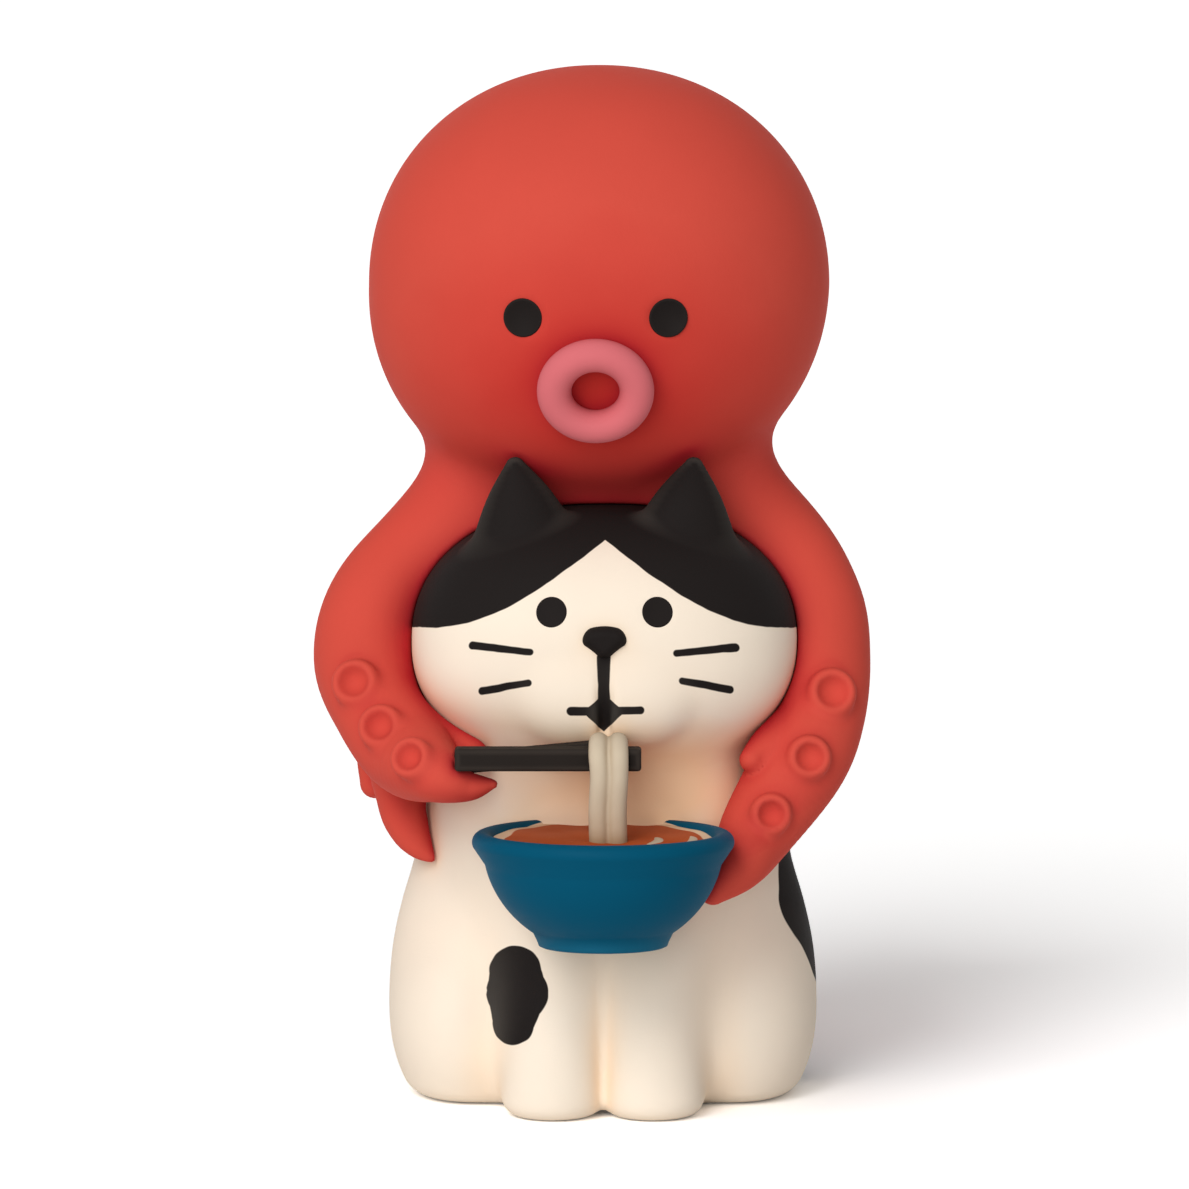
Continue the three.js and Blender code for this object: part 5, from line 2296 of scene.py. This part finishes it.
    def build(self, shop: Workshop) -> None:
        """Turns the bowl, pours the broth, lays the noodles and cuts the chopsticks.

        Args:
            shop: The workshop.
        """
        turning = Turning(self.rim - self.upright * self.bowl_height, self.upright)
        shop.piece("bowl_casting", *turning.mesh(self.bowl_profile()), BLUE, ["bowl"], "bowl")
        level = np.array([0.0, 0.0, 1.0])
        points, faces = Turning(self.rim - level * self.bowl_height, level).mesh(self.broth_profile())
        across, along = self.ripple_waves
        ripple = np.sin(points[:, 0] * across + self.ripple_shift) * np.cos(points[:, 1] * along)
        face = self.broth_height - points[:, 2] < self.ripple_depth
        points[:, 2] += np.where(face, ripple * self.ripple_height, 0)
        shop.piece("broth_pour", points, faces, BROTH, ["broth"], "bowl")
        for name, stick in zip(("front", "rear"), self.sticks):
            corner = np.array(stick.half) + self.margin
            low = np.array(stick.centre) - corner
            high = np.array(stick.centre) + corner
            high[2] += stick.lift
            skin = Sculptor(STEPS.stick).skin(stick.distance, low, high)
            shop.piece(f"chopstick_{name}_cut", *skin, STICK, [f"chopstick_{name}"])
        low, high = self.strands[0].box(self.margin)
        high = np.maximum(high, self.strands[1].box(self.margin)[1])
        lifted = Sculptor(STEPS.strand).skin(self.strand_gap, low, high)
        shop.piece("noodle_lift_strands", *lifted, NOODLE, ["noodle_lift"])
        nest = self.nest_limb()
        coil = Sculptor(STEPS.nest).skin(nest.distance, *nest.box(self.margin))
        shop.piece("noodle_nest_coil", *coil, NOODLE, ["noodle_nest"], "bowl")


@dataclass
class Pegs:
    """The dowels inside the figure, which keep their own solids."""

    nodes: tuple[str, ...] = ("neck_dowel", "mantle_dowel")

    def build(self, shop: Workshop) -> None:
        """Gives the dowels their wood.

        Args:
            shop: The workshop.
        """
        for name in self.nodes:
            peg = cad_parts[name]
            peg.data.materials.clear()
            peg.data.materials.append(shop.paint(BIRCH))
            LOG.info("%s: kept, in %s", name, BIRCH.name)


@dataclass
class Studio:
    """A pale floor, soft light and the camera, in metres."""

    aim: Triple = (-0.00066, 0.0, 0.03887)
    elevation: float = TILT
    distance: float = 0.9
    view_width: float = 0.09217
    sensor: float = 36.0
    clip: Pair = (0.01, 20.0)
    floor_half: float = 4.0
    key_from: Triple = (-0.35, -0.67, 0.66)
    key_angle: float = math.radians(32.0)
    key_strength: float = 1.26
    fill_from: Triple = (-0.26, -1.0, 0.16)
    fill_angle: float = math.radians(40.0)
    fill_strength: float = 1.42
    ambient: float = 0.31
    ambient_colour: Quadruple = (1.0, 0.995, 0.985, 1.0)
    paper: float = 0.92
    paper_seen: float = 1.68
    paper_grain: float = 0.8
    paper_speck: float = 0.02
    paper_roughness: float = 0.9

    def camera(self) -> None:
        """Sets the camera in front of the figure and a little over it."""
        back = Vector((0.0, -math.cos(self.elevation), math.sin(self.elevation)))
        data = bpy.data.cameras.new("camera")
        data.sensor_width = self.sensor
        data.lens = self.sensor * self.distance / self.view_width
        data.clip_start, data.clip_end = self.clip
        camera = bpy.data.objects.new("camera", data)
        camera.location = Vector(self.aim) + back * self.distance
        camera.rotation_euler = (-back).to_track_quat("-Z", "Y").to_euler()
        bpy.context.scene.collection.objects.link(camera)
        bpy.context.scene.camera = camera

    @staticmethod
    def lamp(name: str, source: Triple, angle: float, strength: float) -> None:
        """Hangs a wide soft light.

        Args:
            name: The light's name.
            source: The way to it from the figure.
            angle: How wide it looks from the figure, in radians.
            strength: Its strength.
        """
        data = bpy.data.lights.new(name, "SUN")
        data.angle = angle
        data.energy = strength
        lamp = bpy.data.objects.new(name, data)
        lamp.rotation_euler = (-Vector(source)).to_track_quat("-Z", "Y").to_euler()
        bpy.context.scene.collection.objects.link(lamp)

    @staticmethod
    def seen(w: Wiring) -> Socket:
        """Tells the rays that show the background from those that only light.

        Args:
            w: The wiring.

        Returns:
            One for a ray that shows it, and zero for light.
        """
        path = w.add("ShaderNodeLightPath")
        shown = w.math("MAXIMUM", path.outputs["Is Camera Ray"], path.outputs["Is Glossy Ray"])
        return w.math("MAXIMUM", shown, path.outputs["Is Transmission Ray"])

    def world(self) -> None:
        """A white background over a soft even light."""
        world = bpy.data.worlds.new("studio")
        world.use_nodes = True
        bpy.context.scene.world = world
        w = Wiring(world.node_tree)
        light = world.node_tree.nodes["Background"]
        light.inputs["Color"].default_value = self.ambient_colour
        light.inputs["Strength"].default_value = self.ambient
        white = w.add("ShaderNodeBackground")
        white.inputs["Color"].default_value = (1.0, 1.0, 1.0, 1.0)
        white.inputs["Strength"].default_value = 1.0
        mixed = w.add("ShaderNodeMixShader")
        w.put(mixed.inputs[0], self.seen(w))
        w.put(mixed.inputs[1], light.outputs[0])
        w.put(mixed.inputs[2], white.outputs[0])
        w.put(world.node_tree.nodes["World Output"].inputs["Surface"], mixed.outputs[0])

    def floor(self) -> None:
        """A wide pale sheet under the figure."""
        half = self.floor_half
        mesh = bpy.data.meshes.new("floor")
        corners = [(-half, -half, 0), (half, -half, 0), (half, half, 0), (-half, half, 0)]
        mesh.from_pydata(corners, [], [(0, 1, 2, 3)])
        material = bpy.data.materials.new("pale_paper")
        material.use_nodes = True
        w = Wiring(material.node_tree)
        shader = material.node_tree.nodes["Principled BSDF"]
        grain = w.noise(self.paper_grain, w.millimetres(), 2.0)
        speck = w.math("MULTIPLY_ADD", grain, self.paper_speck, self.paper - self.paper_speck / 2)
        shown = w.math("MULTIPLY_ADD", self.seen(w), self.paper_seen - self.paper, speck)
        paper = w.add("ShaderNodeCombineColor")
        for channel in paper.inputs:
            w.put(channel, shown)
        w.put(shader.inputs["Base Color"], paper.outputs[0])
        shader.inputs["Roughness"].default_value = self.paper_roughness
        shader.inputs["Specular IOR Level"].default_value = 0.0
        mesh.materials.append(material)
        sheet = bpy.data.objects.new("floor", mesh)
        bpy.context.scene.collection.objects.link(sheet)

    def build(self) -> None:
        """Sets up the studio."""
        self.camera()
        self.world()
        self.floor()
        self.lamp("key", self.key_from, self.key_angle, self.key_strength)
        self.lamp("fill", self.fill_from, self.fill_angle, self.fill_strength)
        bpy.context.scene.view_settings.view_transform = "Standard"


def main() -> None:
    """Builds the studio, then each sub-assembly in turn."""
    logging.basicConfig(level=logging.INFO, format="%(name)s %(relativeCreated)d ms: %(message)s")
    studio = Studio()
    studio.build()
    shop = Workshop(Effects(studio.elevation))
    meal = Meal()
    cat = Cat(meal.bib())
    octopus = Octopus(cat, meal.held_gap)
    shop.around.fields = {
        "cat": cat.gap,
        "octopus": octopus.gap,
        "bowl": meal.bowl_gap,
        "sticks": meal.stick_gap,
        "strands": meal.strand_gap,
        "nose": cat.nose_gap,
        "tail": cat.tail_gap,
    }
    cat.build(shop)
    octopus.build(shop)
    meal.build(shop)
    Pegs().build(shop)


if __name__ == "__main__":
    main()
